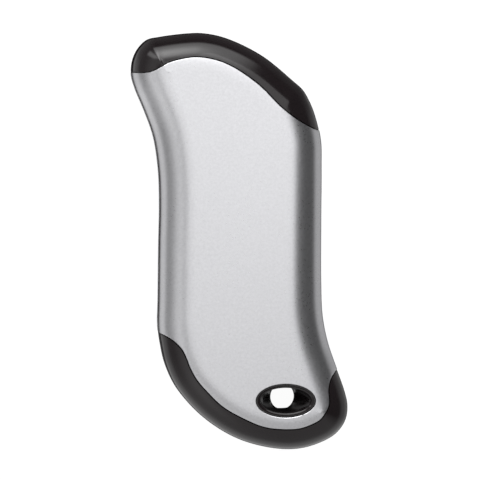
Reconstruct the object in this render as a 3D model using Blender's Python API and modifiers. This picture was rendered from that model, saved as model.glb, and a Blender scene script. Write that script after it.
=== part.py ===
"""Rechargeable hand warmer and power bank, built from the cells outwards.

Two aluminium skins cover a black moulded frame in two halves. The frame carries two round cells, the
board with its sockets and switch, and a lanyard dish with a through hole. Metres, +Z up: the part lies
on its front skin, +X is to the right and +Y is towards the end with the sockets.
"""
import bisect
import math

import bmesh
import bpy
from mathutils import Matrix, Vector

# Cells and the layers between them and the outside, which set the thickness
CELL_DIAMETER = 0.0184
CELL_LENGTH = 0.0650
CELL_SPACING = 0.0004
CELL_STAGGER = 0.0060
CELL_TILT = math.radians(1.2)
CELL_CAP_RADIUS = 0.0030
CELL_CAP_HEIGHT = 0.0012
CELL_SHOULDER = 0.0010
FILM_THICKNESS = 0.00035
FOAM_THICKNESS = 0.0014
SKIN_WALL = 0.0009
SEAT_GAP = 0.0003
FIT_GAP = 0.0002
OVERRUN = 0.0040

# Room around the cells, which sets the width and the length
SIDE_ROOM = 0.0011
BOARD_REAR_ROOM = 0.0055
LANYARD_ROOM = 0.0228
FRAME_WALL = 0.0014
ROLL_RADIUS = 0.0082
SKIN_PROUD = 0.0001
SKIN_SKIRT = 0.0010
SEAM_GAP = 0.0003
SEAM_LIP = 0.0007
SEAM_LIP_RISE = 0.0010

# Places on the outline as shares of the body's width and length, from its lower left corner
WAIST_SHARES = (0.1285, 0.8765)
OUTLINE_SHARES = (
    (0.253, 0.999), (0.131, 0.991), (0.075, 0.984), (0.031, 0.962), (0.006, 0.933), (0.001, 0.901),
    (0.016, 0.870), (0.063, 0.811), (0.104, 0.750), (0.127, 0.670), (0.132, 0.589), (0.1285, 0.491),
    (0.1255, 0.361), (0.1235, 0.296), (0.135, 0.249), (0.158, 0.200), (0.213, 0.142), (0.331, 0.076),
    (0.490, 0.025), (0.671, 0.001), (0.796, 0.003), (0.913, 0.0255), (0.961, 0.0455), (0.992, 0.073),
    (1.000, 0.105), (0.988, 0.137), (0.947, 0.1975), (0.907, 0.2586), (0.883, 0.322), (0.8765, 0.400),
    (0.8765, 0.549), (0.878, 0.678), (0.875, 0.743), (0.847, 0.805), (0.824, 0.835), (0.793, 0.863),
    (0.747, 0.885), (0.602, 0.946), (0.435, 0.988), (0.330, 0.9995),
)
SKIN_TOP_SHARES = (
    (-0.200, 0.904), (0.002, 0.904), (0.045, 0.903), (0.076, 0.905), (0.104, 0.910), (0.136, 0.919),
    (0.168, 0.928), (0.228, 0.9365), (0.288, 0.9405), (0.344, 0.938), (0.399, 0.931), (0.445, 0.921),
    (0.491, 0.908), (0.584, 0.873), (0.676, 0.825), (0.722, 0.805), (0.769, 0.788), (0.813, 0.775),
    (0.861, 0.766), (1.200, 0.745),
)
SKIN_BOTTOM_SHARES = (
    (-0.200, 0.300), (0.108, 0.290), (0.128, 0.282), (0.154, 0.276), (0.183, 0.267), (0.207, 0.256),
    (0.226, 0.245), (0.238, 0.234), (0.249, 0.221), (0.263, 0.202), (0.295, 0.172), (0.343, 0.143),
    (0.399, 0.114), (0.445, 0.097), (0.491, 0.084), (0.538, 0.072), (0.584, 0.062), (0.630, 0.056),
    (0.677, 0.0535), (0.723, 0.053), (0.769, 0.055), (0.816, 0.063), (0.862, 0.076), (0.890, 0.096),
    (0.901, 0.108), (0.904, 0.120), (0.9005, 0.144), (0.904, 0.159), (0.914, 0.174), (0.928, 0.184),
    (0.945, 0.192), (1.200, 0.207),
)
END_CORNER_SHARES = ((0.081, 0.983), (0.797, 0.861))

# How finely curves are cut into facets
FACET_TURN = math.radians(9.0)
FACET_LENGTH = 0.0080
ROLL_STEPS = 5
OUTLINE_FINENESS = 12
EDGE_FINENESS = 4
LEAD_FINENESS = 3
LEAD_BEVEL_STEPS = 2
CORNER_STEPS = 4
EDGE_ROUND_STEPS = 3
CELL_STEPS = 32
ROUND_STEPS = 24
SCREW_STEPS = 16
BEAD_STEPS = 12
SHARP_ANGLE = math.radians(30)
TURN_MERGE = 0.00001
TIGHT_CORNER_SHARE = 0.86
CORNER_WINDOW = 0.0060
CORNER_SOFTNESS = 6.0

# Lanyard dish and hole
DISH_LENGTH = 0.0159
DISH_WIDTH = 0.0087
DISH_CHAMFER = 0.0005
DISH_LIP = 0.00025
THROAT_SHIFT = (-0.0003, 0.0005)
DISH_WALL = 0.0014
LANYARD_HOLE = 0.0067
DISH_CENTRE_SHARES = (0.7037, 0.1212)
DISH_DEPTH_SHARES = (0.42, 0.86)
DISH_BLEND_SHARE = 0.35
DISH_STEPS = 36

# Heater films, foam pads and the windows of the frame that they lie in
FILM_SIDE_ROOM = 0.0010
FILM_END_ROOM = 0.0045
FILM_CORNER = 0.0030
WINDOW_MARGIN = 0.0006

# Sockets, measured from the middle of the end face along it
BOARD_THICKNESS = 0.0012
BOARD_DROP = 0.0019
BOARD_STRIP = 0.0023
BOARD_SIDE = 0.0067
USB_A_WIDTH = 0.0131
USB_A_HEIGHT = 0.0057
USB_A_DEPTH = 0.0100
USB_WALL = 0.0003
USB_A_TONGUE_SIDE = 0.0007
USB_A_TONGUE_TOP = 0.00055
USB_A_TONGUE_HEIGHT = 0.0018
USB_BLOCK_DEPTH = 0.0025
TONGUE_SETBACK = 0.0008
MICRO_WIDTH = 0.0076
MICRO_HEIGHT = 0.0028
MICRO_DEPTH = 0.0052
MICRO_TONGUE_SIDE = 0.00165
MICRO_TONGUE_HEIGHT = 0.0006
MICRO_BLOCK_DEPTH = 0.0012
SOCKET_SETBACK = 0.0010
SOCKET_SPACING = 0.0016
END_FALL_SHARE = 0.16
SOCKET_CORNER = 0.0004

# Power button, its switch and its travel
BUTTON_SPACING = 0.0024
BUTTON_LENGTH = 0.0080
BUTTON_WIDTH = 0.0048
BUTTON_TRAVEL = 0.00035
BUTTON_SINK = 0.0001
BUTTON_FLANGE = 0.0007
BUTTON_FLANGE_LIP = 0.0008
BUTTON_FLANGE_DEPTH = 0.0022
BUTTON_STEM_RADIUS = 0.0012
BUTTON_STEM_LENGTH = 0.0010
SWITCH_WIDTH = 0.0060
SWITCH_DEPTH = 0.0032
PLUNGER_RADIUS = 0.0009
PLUNGER_LENGTH = 0.0012
PLUNGER_SINK = 0.0006

# Charge lights: four pegs of one light pipe over the micro socket
LIGHT_COUNT = 4
LIGHT_PITCH = 0.0020
LIGHT_PEG = 0.0010
LIGHT_WEB = 0.0014
LIGHT_ROOM = 0.0011
LED_WIDTH = 0.0012
LED_HEIGHT = 0.0007

# Screws and posts
SCREW_RADIUS = 0.0010
SCREW_HEAD_RADIUS = 0.0018
SCREW_HEAD_HEIGHT = 0.0011
SCREW_BITE = 0.0060
SCREW_SINK = 0.0008
POST_RADIUS = 0.0022
POST_SHOULDER = 0.0014
POST_GAP = 0.0008
CORNER_POST_SHARE = -0.215
CELL_POST_SHARES = (0.26, -0.68, -0.17)

# Ribs that hold the cells
RIB_THICKNESS = 0.0014
RIB_PLACE_SHARES = (-0.30, 0.30)

# Small electronics and leads
NICKEL_THICKNESS = 0.0002
NICKEL_HEIGHT = 0.0060
CHIP_SIZE = (0.0040, 0.0040, 0.0009)
CHARGER_SIZE = (0.0030, 0.0030, 0.0008)
INDUCTOR_SIZE = (0.0042, 0.0042, 0.0030)
CAPACITOR_SIZE = (0.0020, 0.0012, 0.0012)
CHIP_SPACING = 0.0011
MITRE_SHARE = 0.5
SHOULDER_SHARE = 0.33
SENSOR_RADIUS = 0.0012
SENSOR_LENGTH = 0.0050
FUSE_LENGTH = 0.0080
LEAD_RADIUS = 0.0005
LEAD_VALLEY_SHARE = 0.30
LEAD_PLACE_SHARE = 0.27
TAIL_WIDTH = 0.0040
TAIL_DROP_SHARE = 0.60
TAIL_LANDING = 0.0008
TAIL_ROOM = 0.0012

# Thickness, width and length that follow
HALF_THICKNESS = SKIN_WALL + FILM_THICKNESS + FOAM_THICKNESS + 3 * SEAT_GAP + CELL_DIAMETER / 2
THICKNESS = 2 * HALF_THICKNESS
BAND_HALF = HALF_THICKNESS - ROLL_RADIUS
POCKET_FLOOR = SKIN_WALL + SEAT_GAP
INNER_OFFSET = POCKET_FLOOR + FRAME_WALL
PAIR_WIDTH = 2 * CELL_DIAMETER + CELL_SPACING
WAIST_WIDTH = PAIR_WIDTH + 2 * (INNER_OFFSET + SIDE_ROOM)
FILM_WIDTH = WAIST_WIDTH - 2 * (ROLL_RADIUS + FILM_SIDE_ROOM)
FILM_LENGTH = CELL_LENGTH - 2 * FILM_END_ROOM
TAIL_PLACE = (TAIL_WIDTH - FILM_WIDTH) / 2 + SEAT_GAP

USB_A_PLACE = -USB_A_WIDTH / 2
MICRO_PLACE = SOCKET_SPACING + MICRO_WIDTH / 2
BUTTON_PLACE = SOCKET_SPACING + MICRO_WIDTH + BUTTON_SPACING + BUTTON_LENGTH / 2
USB_A_MOUTH = -SOCKET_SETBACK - END_FALL_SHARE * USB_A_WIDTH
USB_A_BACK = USB_A_MOUTH - USB_A_DEPTH
MICRO_MOUTH = -SOCKET_SETBACK - END_FALL_SHARE * (SOCKET_SPACING + MICRO_WIDTH)
MICRO_BACK = MICRO_MOUTH - MICRO_DEPTH
BOARD_DEPTH = BOARD_STRIP + SEAT_GAP - USB_A_BACK
BOARD_REACH = USB_A_WIDTH + BOARD_SIDE
BOARD_TOP = -BOARD_DROP
BOARD_UNDERSIDE = BOARD_TOP - BOARD_THICKNESS
MICRO_MIDDLE = BOARD_TOP + FIT_GAP + MICRO_HEIGHT / 2
LIGHT_RISE = MICRO_MIDDLE + MICRO_HEIGHT / 2 + LIGHT_WEB + LIGHT_PEG / 2
LIGHT_REACH = LIGHT_PEG + LIGHT_ROOM - MICRO_BACK

ELECTRONICS_ROOM = BOARD_DEPTH + BOARD_REAR_ROOM
BODY_WIDTH = WAIST_WIDTH / (WAIST_SHARES[1] - WAIST_SHARES[0])
BODY_LENGTH = CELL_LENGTH + CELL_STAGGER + ELECTRONICS_ROOM + LANYARD_ROOM

PARTS_NAME = "hand_warmer"


def clear_scene():
    for old in list(bpy.context.scene.objects):
        bpy.data.objects.remove(old, do_unlink=True)


def new_collection(name):
    made = bpy.data.collections.new(name)
    bpy.context.scene.collection.children.link(made)
    return made


clear_scene()
PARTS = new_collection(PARTS_NAME)
CUTTERS = new_collection(PARTS_NAME + "_cutters")


def material(name, colour, roughness, metallic):
    made = bpy.data.materials.new(name)
    made.use_nodes = True
    shader = made.node_tree.nodes["Principled BSDF"]
    shader.inputs["Base Color"].default_value = (*colour, 1.0)
    shader.inputs["Roughness"].default_value = roughness
    shader.inputs["Metallic"].default_value = metallic
    return made


ALUMINIUM = material("blasted_aluminium", (0.62, 0.62, 0.64), 0.38, 1.0)
BLACK_PLASTIC = material("gloss_black_plastic", (0.015, 0.013, 0.013), 0.16, 0.0)
BUTTON_PLASTIC = material("satin_black_plastic", (0.030, 0.030, 0.032), 0.35, 0.0)
CLEAR_PLASTIC = material("clear_plastic", (0.80, 0.82, 0.85), 0.12, 0.0)
CELL_WRAP = material("cell_wrap", (0.05, 0.22, 0.50), 0.35, 0.0)
NICKEL = material("nickel", (0.70, 0.68, 0.62), 0.30, 1.0)
HEATER_AMBER = material("polyimide_film", (0.62, 0.30, 0.06), 0.35, 0.0)
FOAM_GREY = material("foam", (0.20, 0.20, 0.21), 0.90, 0.0)
BOARD_GREEN = material("circuit_board", (0.03, 0.22, 0.09), 0.40, 0.0)
STEEL = material("plated_steel", (0.66, 0.66, 0.68), 0.25, 1.0)
INSULATOR = material("black_insulator", (0.02, 0.02, 0.02), 0.50, 0.0)
CHIP_BLACK = material("chip_epoxy", (0.03, 0.03, 0.03), 0.55, 0.0)
FERRITE = material("ferrite", (0.12, 0.12, 0.13), 0.60, 0.0)
CERAMIC = material("ceramic", (0.45, 0.36, 0.26), 0.50, 0.0)
LED_WHITE = material("led_body", (0.85, 0.85, 0.80), 0.30, 0.0)
EPOXY_BEAD = material("epoxy_bead", (0.10, 0.10, 0.12), 0.30, 0.0)
LEAD_RED = material("red_lead", (0.55, 0.03, 0.03), 0.45, 0.0)
LEAD_BLACK = material("black_lead", (0.02, 0.02, 0.02), 0.45, 0.0)


def place(mesh, name, finish=None, parent=None, matrix=None):
    """Makes an object of a mesh: a part where a finish is given, and otherwise a cutter."""
    made = bpy.data.objects.new(name, mesh)
    if finish is None:
        CUTTERS.objects.link(made)
        made.hide_render = True
        made.display_type = "WIRE"
    else:
        PARTS.objects.link(made)
        mesh.materials.append(finish)
    made.parent = parent
    if matrix is not None:
        made.matrix_local = matrix
    return made


def mesh_of(bm, name):
    bmesh.ops.recalc_face_normals(bm, faces=bm.faces)
    mesh = bpy.data.meshes.new(name)
    bm.to_mesh(mesh)
    bm.free()
    mesh.shade_smooth()
    mesh.set_sharp_from_angle(angle=SHARP_ANGLE)
    return mesh


def boolean(target, cutter, operation="DIFFERENCE"):
    step = target.modifiers.new(cutter.name, "BOOLEAN")
    step.operation = operation
    step.object = cutter
    return target


def loft(name, rings):
    """A closed solid through rings of equally many points, capped at both ends."""
    bm = bmesh.new()
    rows = [[bm.verts.new(point) for point in ring] for ring in rings]
    for lower, upper in zip(rows, rows[1:]):
        for here in range(len(lower)):
            after = (here + 1) % len(lower)
            bm.faces.new((lower[here], lower[after], upper[after], upper[here]))
    bm.faces.new(rows[0])
    bm.faces.new(rows[-1])
    return mesh_of(bm, name)


def prism(name, points, low, high):
    """A flat outline drawn up from one height to another."""
    return loft(name, [[Vector((p.x, p.y, z)) for p in points] for z in (low, high)])


def block(name, low, high, corner=0.0):
    """A box between two corners, its edges along Y rounded if a corner radius is given."""
    bm = bmesh.new()
    bmesh.ops.create_cube(bm, size=1.0)
    size = [b - a for a, b in zip(low, high)]
    middle = [(a + b) / 2 for a, b in zip(low, high)]
    bmesh.ops.scale(bm, vec=size, verts=bm.verts)
    bmesh.ops.translate(bm, vec=middle, verts=bm.verts)
    if corner:
        edges = [e for e in bm.edges if abs((e.verts[0].co - e.verts[1].co).y) > size[1] / 2]
        bmesh.ops.bevel(
            bm, geom=edges, offset=corner, segments=EDGE_ROUND_STEPS, affect="EDGES", profile=0.5, material=-1,
        )
    return mesh_of(bm, name)


def rod(name, radius, low, high, axis="Z", steps=ROUND_STEPS):
    """A cylinder along one axis, between two stations on it."""
    bm = bmesh.new()
    depth = high - low
    bmesh.ops.create_cone(bm, cap_ends=True, segments=steps, radius1=radius, radius2=radius, depth=depth)
    bmesh.ops.translate(bm, vec=(0, 0, (low + high) / 2), verts=bm.verts)
    if axis == "Y":
        bmesh.ops.rotate(bm, matrix=Matrix.Rotation(-math.pi / 2, 3, "X"), verts=bm.verts)
    return mesh_of(bm, name)


def pill(name, length, width, low, high):
    """A slab with round ends, long in X and wide in Z, from one station on Y to another."""
    half = (length - width) / 2
    steps = ROUND_STEPS // 2
    ring = []
    for side in (1, -1):
        for step in range(steps + 1):
            turn = math.pi * (step / steps - 0.5)
            across = side * (half + width / 2 * math.cos(turn))
            ring.append((across, side * width / 2 * math.sin(turn)))
    return loft(name, [[Vector((x, y, z)) for x, z in ring] for y in (low, high)])


def turned(name, profile, finish, parent=None, matrix=None, steps=ROUND_STEPS):
    """A turned piece: a half profile down its outer side, from axis to axis, spun about Z."""
    mesh = bpy.data.meshes.new(name)
    edges = [(step, step + 1) for step in range(len(profile) - 1)]
    mesh.from_pydata([(r, 0, z) for r, z in profile], edges, [])
    made = place(mesh, name, finish, parent, matrix)
    spin = made.modifiers.new("turn", "SCREW")
    spin.steps = steps
    spin.render_steps = steps
    spin.use_merge_vertices = True
    spin.merge_threshold = TURN_MERGE
    spin.use_smooth_shade = True
    return made


def smooth_points(points, closed, fineness):
    """Points along a smooth curve through the given ones, each span parted into equal steps."""
    count = len(points)
    spans = count if closed else count - 1
    found = []
    for span in range(spans):
        a, b, c, d = (points[(span + shift) % count] for shift in (-1, 0, 1, 2))
        if not closed and span == 0:
            a = 2 * b - c
        if not closed and span == spans - 1:
            d = 2 * c - b
        knots = [0.0]
        for p, q in ((a, b), (b, c), (c, d)):
            knots.append(knots[-1] + math.sqrt((q - p).length))
        for step in range(fineness):
            t = knots[1] + (knots[2] - knots[1]) * step / fineness

            def blend(p, q, low, high):
                return p.lerp(q, (t - low) / (high - low))

            first = blend(a, b, knots[0], knots[1])
            middle = blend(b, c, knots[1], knots[2])
            last = blend(c, d, knots[2], knots[3])
            left = blend(first, middle, knots[0], knots[2])
            right = blend(middle, last, knots[1], knots[3])
            found.append(blend(left, right, knots[1], knots[2]))
    if not closed:
        found.append(points[-1].copy())
    return found


def facet_stations(points, closed):
    """Numbers of the points to keep: one for each turn of a facet's angle or run of a facet's length."""
    kept = [0]
    turn = 0.0
    count = len(points)
    extremes = set()
    if closed:
        for axis in (0, 1):
            order = sorted(range(count), key=lambda number: points[number][axis])
            extremes.update((order[0], order[-1]))
    for here in range(1, count if closed else count - 1):
        before = points[here] - points[here - 1]
        after = points[(here + 1) % count] - points[here]
        turn += abs(before.angle_signed(after))
        run = (points[here] - points[kept[-1]]).length
        if turn >= FACET_TURN or run >= FACET_LENGTH or here in extremes:
            kept.append(here)
            turn = 0.0
    if not closed:
        kept.append(count - 1)
    return kept


def thinned(points, closed):
    return [points[number] for number in facet_stations(points, closed)]


def body_place(shares):
    """A place in plan from its shares of the body's width and length."""
    return Vector(((shares[0] - 0.5) * BODY_WIDTH, (shares[1] - 0.5) * BODY_LENGTH))


def fit_to_box(points):
    """Moves and stretches the closed curve so that it just fills the body's width and length."""
    low = Vector((min(p.x for p in points), min(p.y for p in points)))
    high = Vector((max(p.x for p in points), max(p.y for p in points)))
    size = high - low
    middle = (low + high) / 2
    return [Vector(((p.x - middle.x) * BODY_WIDTH / size.x, (p.y - middle.y) * BODY_LENGTH / size.y))
            for p in points]


def inward_normals(points):
    """Unit vectors to the left of each point of a curve, which is inwards where it runs anticlockwise."""
    normals = []
    for here in range(len(points)):
        along = points[(here + 1) % len(points)] - points[here - 1]
        normals.append(Vector((-along.y, along.x)).normalized())
    return normals


def rolling(points, window):
    """For each point of a closed curve, its normal and its reach, both evened out over a window.

    The reach is how far the point may move inwards before a convex corner closes on itself.
    """
    count = len(points)
    stations = [0.0]
    for here in range(count):
        stations.append(stations[-1] + (points[(here + 1) % count] - points[here]).length)
    whole = stations[-1]

    def at(station):
        station %= whole
        here = bisect.bisect_right(stations, station) - 1
        share = (station - stations[here]) / (stations[here + 1] - stations[here])
        return points[here].lerp(points[(here + 1) % count], share)

    normals, reach = [], []
    for here in range(count):
        station = stations[here]
        along = at(station + window / 2) - at(station - window / 2)
        normals.append(Vector((-along.y, along.x)).normalized())
        turn = -(points[here] - at(station - window)).angle_signed(at(station + window) - points[here])
        reach.append(TIGHT_CORNER_SHARE * window / turn if turn > 0 else math.inf)
    return normals, reach


FINE_OUTLINE = fit_to_box(smooth_points([body_place(s) for s in OUTLINE_SHARES], True, OUTLINE_FINENESS))
FINE_NORMALS, FINE_REACH = rolling(FINE_OUTLINE, CORNER_WINDOW)
KEPT = facet_stations(FINE_OUTLINE, True)
OUTLINE = [FINE_OUTLINE[number] for number in KEPT]
NORMALS = [FINE_NORMALS[number] for number in KEPT]
REACH = [FINE_REACH[number] for number in KEPT]


def inset(distance):
    """The outline moved inwards, by less where a corner is too tight for the whole distance."""
    moved = []
    for point, normal, reach in zip(OUTLINE, NORMALS, REACH):
        soft = (1 + (max(distance, 0) / reach) ** CORNER_SOFTNESS) ** (1 / CORNER_SOFTNESS)
        moved.append(point + normal * distance / soft)
    return moved


def roll_rings(offset, side, start):
    """Rings of the rolled side, from a start height off mid thickness to the flat of that side."""
    radius = ROLL_RADIUS - offset
    rings = [[Vector((p.x, p.y, HALF_THICKNESS + side * start)) for p in inset(offset)]]
    for step in range(ROLL_STEPS + 1):
        turn = math.pi / 2 * step / ROLL_STEPS
        z = HALF_THICKNESS + side * (BAND_HALF + radius * math.sin(turn))
        ring = inset(offset + radius * (1 - math.cos(turn)))
        rings.append([Vector((p.x, p.y, z)) for p in ring])
    return rings


def half_body(name, offset, side, start):
    """One half of the body, cut square at the start height, drawn in by an offset all round."""
    return loft(name, roll_rings(offset, side, start))


def skin_cup(name, side):
    """A pressed skin before its ends are trimmed: a flat face with rolled sides and an even wall."""
    start = BAND_HALF - SKIN_SKIRT
    outer = roll_rings(0, side, start)
    inner = roll_rings(SKIN_WALL, side, start)
    return loft(name, outer[::-1] + inner)


def region(name, grow, low, high):
    """The plan area that a skin covers, from its top edge to its bottom edge, grown by a gap."""
    top = smooth_points([body_place(s) for s in SKIN_TOP_SHARES], False, EDGE_FINENESS)
    bottom = smooth_points([body_place(s) for s in SKIN_BOTTOM_SHARES], False, EDGE_FINENESS)
    points = thinned(bottom, False) + thinned(top, False)[::-1]
    normals = inward_normals(points)
    return prism(name, [p - n * grow for p, n in zip(points, normals)], low, high)


def ellipse(centre, length, width, z, steps=DISH_STEPS):
    turns = [2 * math.pi * step / steps for step in range(steps)]
    across, along = length / 2, width / 2
    return [Vector((centre.x + across * math.cos(t), centre.y + along * math.sin(t), z)) for t in turns]


def empty(name, matrix):
    made = bpy.data.objects.new(name, None)
    PARTS.objects.link(made)
    made.empty_display_size = OVERRUN
    made.matrix_world = matrix
    return made


# The frame of the cells: +Y along them, at mid thickness
WAIST_MIDDLE = (WAIST_SHARES[0] + WAIST_SHARES[1]) / 2
CELL_MIDDLE = Vector((body_place((WAIST_MIDDLE, 0)).x, (LANYARD_ROOM - ELECTRONICS_ROOM) / 2))
CELL_MATRIX = Matrix.Translation((*CELL_MIDDLE, HALF_THICKNESS)) @ Matrix.Rotation(CELL_TILT, 4, "Z")
CELL_FRAME = empty("cell_frame", CELL_MATRIX)

# The frame of the sockets: +Y out of the end face, +X along it
LEFT_CORNER = body_place(END_CORNER_SHARES[0])
RIGHT_CORNER = body_place(END_CORNER_SHARES[1])
END_ANGLE = math.atan2(RIGHT_CORNER.y - LEFT_CORNER.y, RIGHT_CORNER.x - LEFT_CORNER.x)
END_TURN = Matrix.Rotation(END_ANGLE, 2)


def end_face(along):
    """The outline's place and its inward normal at a station along the end face."""
    middle = (LEFT_CORNER + RIGHT_CORNER) / 2
    best = None
    for point, normal in zip(FINE_OUTLINE, FINE_NORMALS):
        local = END_TURN.transposed() @ (point - middle)
        if local.y > 0 and (best is None or abs(local.x - along) < best[0]):
            best = (abs(local.x - along), point, normal)
    return best[1], best[2]


END_POINT = end_face(0)[0]
END_MATRIX = Matrix.Translation((*END_POINT, HALF_THICKNESS)) @ Matrix.Rotation(END_ANGLE, 4, "Z")
END_FRAME = empty("end_frame", END_MATRIX)


BUTTON_POINT, BUTTON_INWARD = end_face(BUTTON_PLACE)
BUTTON_ANGLE = math.atan2(-BUTTON_INWARD.y, -BUTTON_INWARD.x) - math.pi / 2
BUTTON_MATRIX = Matrix.Translation((*BUTTON_POINT, HALF_THICKNESS)) @ Matrix.Rotation(BUTTON_ANGLE, 4, "Z")
BUTTON_FRAME = empty("button_frame", BUTTON_MATRIX)

DISH_CENTRE = body_place(DISH_CENTRE_SHARES)
THROAT_CENTRE = DISH_CENTRE + Vector(THROAT_SHIFT)


def screw_posts():
    """The places of the four screw posts: one behind the board, and three off the cells' ends."""
    behind = -BOARD_DEPTH - SEAT_GAP - POST_RADIUS
    corner = END_MATRIX @ Vector((CORNER_POST_SHARE * BODY_WIDTH, behind, 0))
    off = CELL_LENGTH / 2 + NICKEL_THICKNESS + 2 * SEAT_GAP + POST_GAP + POST_RADIUS
    shift = CELL_STAGGER / 2
    beside = zip(CELL_POST_SHARES, (off - shift, shift - off, -shift - off))
    found = [CELL_MATRIX @ Vector((share * CELL_DIAMETER, along, 0)) for share, along in beside]
    return [point.to_2d() for point in (corner, *found)]


POSTS = screw_posts()


def make_skin(name, side):
    skin = place(skin_cup(name, side), name, ALUMINIUM)
    trim = place(region(name + "_trim", 0, -OVERRUN, THICKNESS + OVERRUN), name + "_trim")
    boolean(skin, trim, "INTERSECT")
    start = HALF_THICKNESS + side * (BAND_HALF - OVERRUN)
    end = HALF_THICKNESS + side * (HALF_THICKNESS + OVERRUN)
    base = half_body(name + "_above", -OVERRUN, side, BAND_HALF)
    boolean(skin, place(base, name + "_above"), "INTERSECT")
    grow = 2 * SEAT_GAP
    hole = [ellipse(DISH_CENTRE, DISH_LENGTH + grow, DISH_WIDTH + grow, z) for z in (start, end)]
    return boolean(skin, place(loft(name + "_hole", hole), name + "_hole"))


def dish_funnel(name, side):
    """The space of the dish on one side: a chamfer, an elliptical well and the round throat."""
    lip = 2 * DISH_LIP
    inner = lip + 2 * DISH_CHAMFER
    top = HALF_THICKNESS - SKIN_PROUD
    wells = [DISH_DEPTH_SHARES[0] * HALF_THICKNESS, DISH_DEPTH_SHARES[1] * HALF_THICKNESS]
    length = DISH_LENGTH - inner
    width = DISH_WIDTH - inner
    blend_length = length + (LANYARD_HOLE - length) * DISH_BLEND_SHARE
    blend_width = width + (LANYARD_HOLE - width) * DISH_BLEND_SHARE
    blend_centre = DISH_CENTRE.lerp(THROAT_CENTRE, DISH_BLEND_SHARE)
    sections = [
        (DISH_CENTRE, DISH_LENGTH - lip + 2 * OVERRUN, DISH_WIDTH - lip + 2 * OVERRUN, top + OVERRUN),
        (DISH_CENTRE, DISH_LENGTH - lip, DISH_WIDTH - lip, top),
        (DISH_CENTRE, length, width, top - DISH_CHAMFER),
        (blend_centre, blend_length, blend_width, top - wells[0]),
        (THROAT_CENTRE, LANYARD_HOLE, LANYARD_HOLE, top - wells[1]),
        (THROAT_CENTRE, LANYARD_HOLE, LANYARD_HOLE, -SEAM_GAP),
    ]
    rings = [ellipse(middle, a, b, HALF_THICKNESS + side * z) for middle, a, b, z in sections]
    return loft(name, rings)


def socket_hole(name, place_along, width, height, middle):
    """A hole through the end wall for a socket, with a gap all round."""
    low = (place_along - width / 2 - SEAT_GAP, -USB_A_DEPTH, middle - height / 2 - SEAT_GAP)
    high = (place_along + width / 2 + SEAT_GAP, OVERRUN, middle + height / 2 + SEAT_GAP)
    return block(name, low, high, SOCKET_CORNER + SEAT_GAP)


def light_places():
    first = MICRO_PLACE - LIGHT_PITCH * (LIGHT_COUNT - 1) / 2
    return [first + LIGHT_PITCH * number for number in range(LIGHT_COUNT)]


def frame_cutters(side):
    """The cutters that both halves of the frame share, as name, mesh and parent."""
    tag = "rear" if side > 0 else "front"
    flange_length = BUTTON_LENGTH + 2 * BUTTON_FLANGE_LIP + 2 * SEAT_GAP
    flange_width = BUTTON_WIDTH + 2 * BUTTON_FLANGE_LIP + 2 * SEAT_GAP
    bore_length = BUTTON_LENGTH + 2 * FIT_GAP
    bore_width = BUTTON_WIDTH + 2 * FIT_GAP
    deep = -USB_A_DEPTH
    usb = socket_hole(tag + "_usb_a_hole", USB_A_PLACE, USB_A_WIDTH, USB_A_HEIGHT, 0)
    micro = socket_hole(tag + "_micro_hole", MICRO_PLACE, MICRO_WIDTH, MICRO_HEIGHT, MICRO_MIDDLE)
    bore = pill(tag + "_button_bore", bore_length, bore_width, deep, OVERRUN)
    pocket = pill(tag + "_button_pocket", flange_length, flange_width, deep, -BUTTON_FLANGE_DEPTH)
    cutters = [(usb, END_FRAME), (micro, END_FRAME), (bore, BUTTON_FRAME), (pocket, BUTTON_FRAME)]
    if side > 0:
        reach = LIGHT_PEG / 2 + FIT_GAP
        for number, along in enumerate(light_places()):
            low = (along - reach, deep, LIGHT_RISE - reach)
            high = (along + reach, OVERRUN, LIGHT_RISE + reach)
            cutters.append((block(f"light_hole_{number + 1}", low, high), END_FRAME))
    return cutters


def rounded_rectangle(width, length, corner):
    """A rectangle with round corners about the origin, long in Y."""
    points = []
    for quarter in range(4):
        x = (width / 2 - corner) * (1 if quarter in (0, 3) else -1)
        y = (length / 2 - corner) * (1 if quarter in (0, 1) else -1)
        for step in range(CORNER_STEPS + 1):
            turn = math.pi / 2 * (quarter + step / CORNER_STEPS)
            points.append(Vector((x + corner * math.cos(turn), y + corner * math.sin(turn))))
    return points


def seam_ring(name, outer, inner, low, high):
    """A ring along the inside of the wall, between two insets of the outline."""
    ring = place(prism(name, inset(outer), low, high), name)
    inside = prism(name + "_inside", inset(inner), low - OVERRUN, high + OVERRUN)
    return boolean(ring, place(inside, name + "_inside"))


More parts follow.
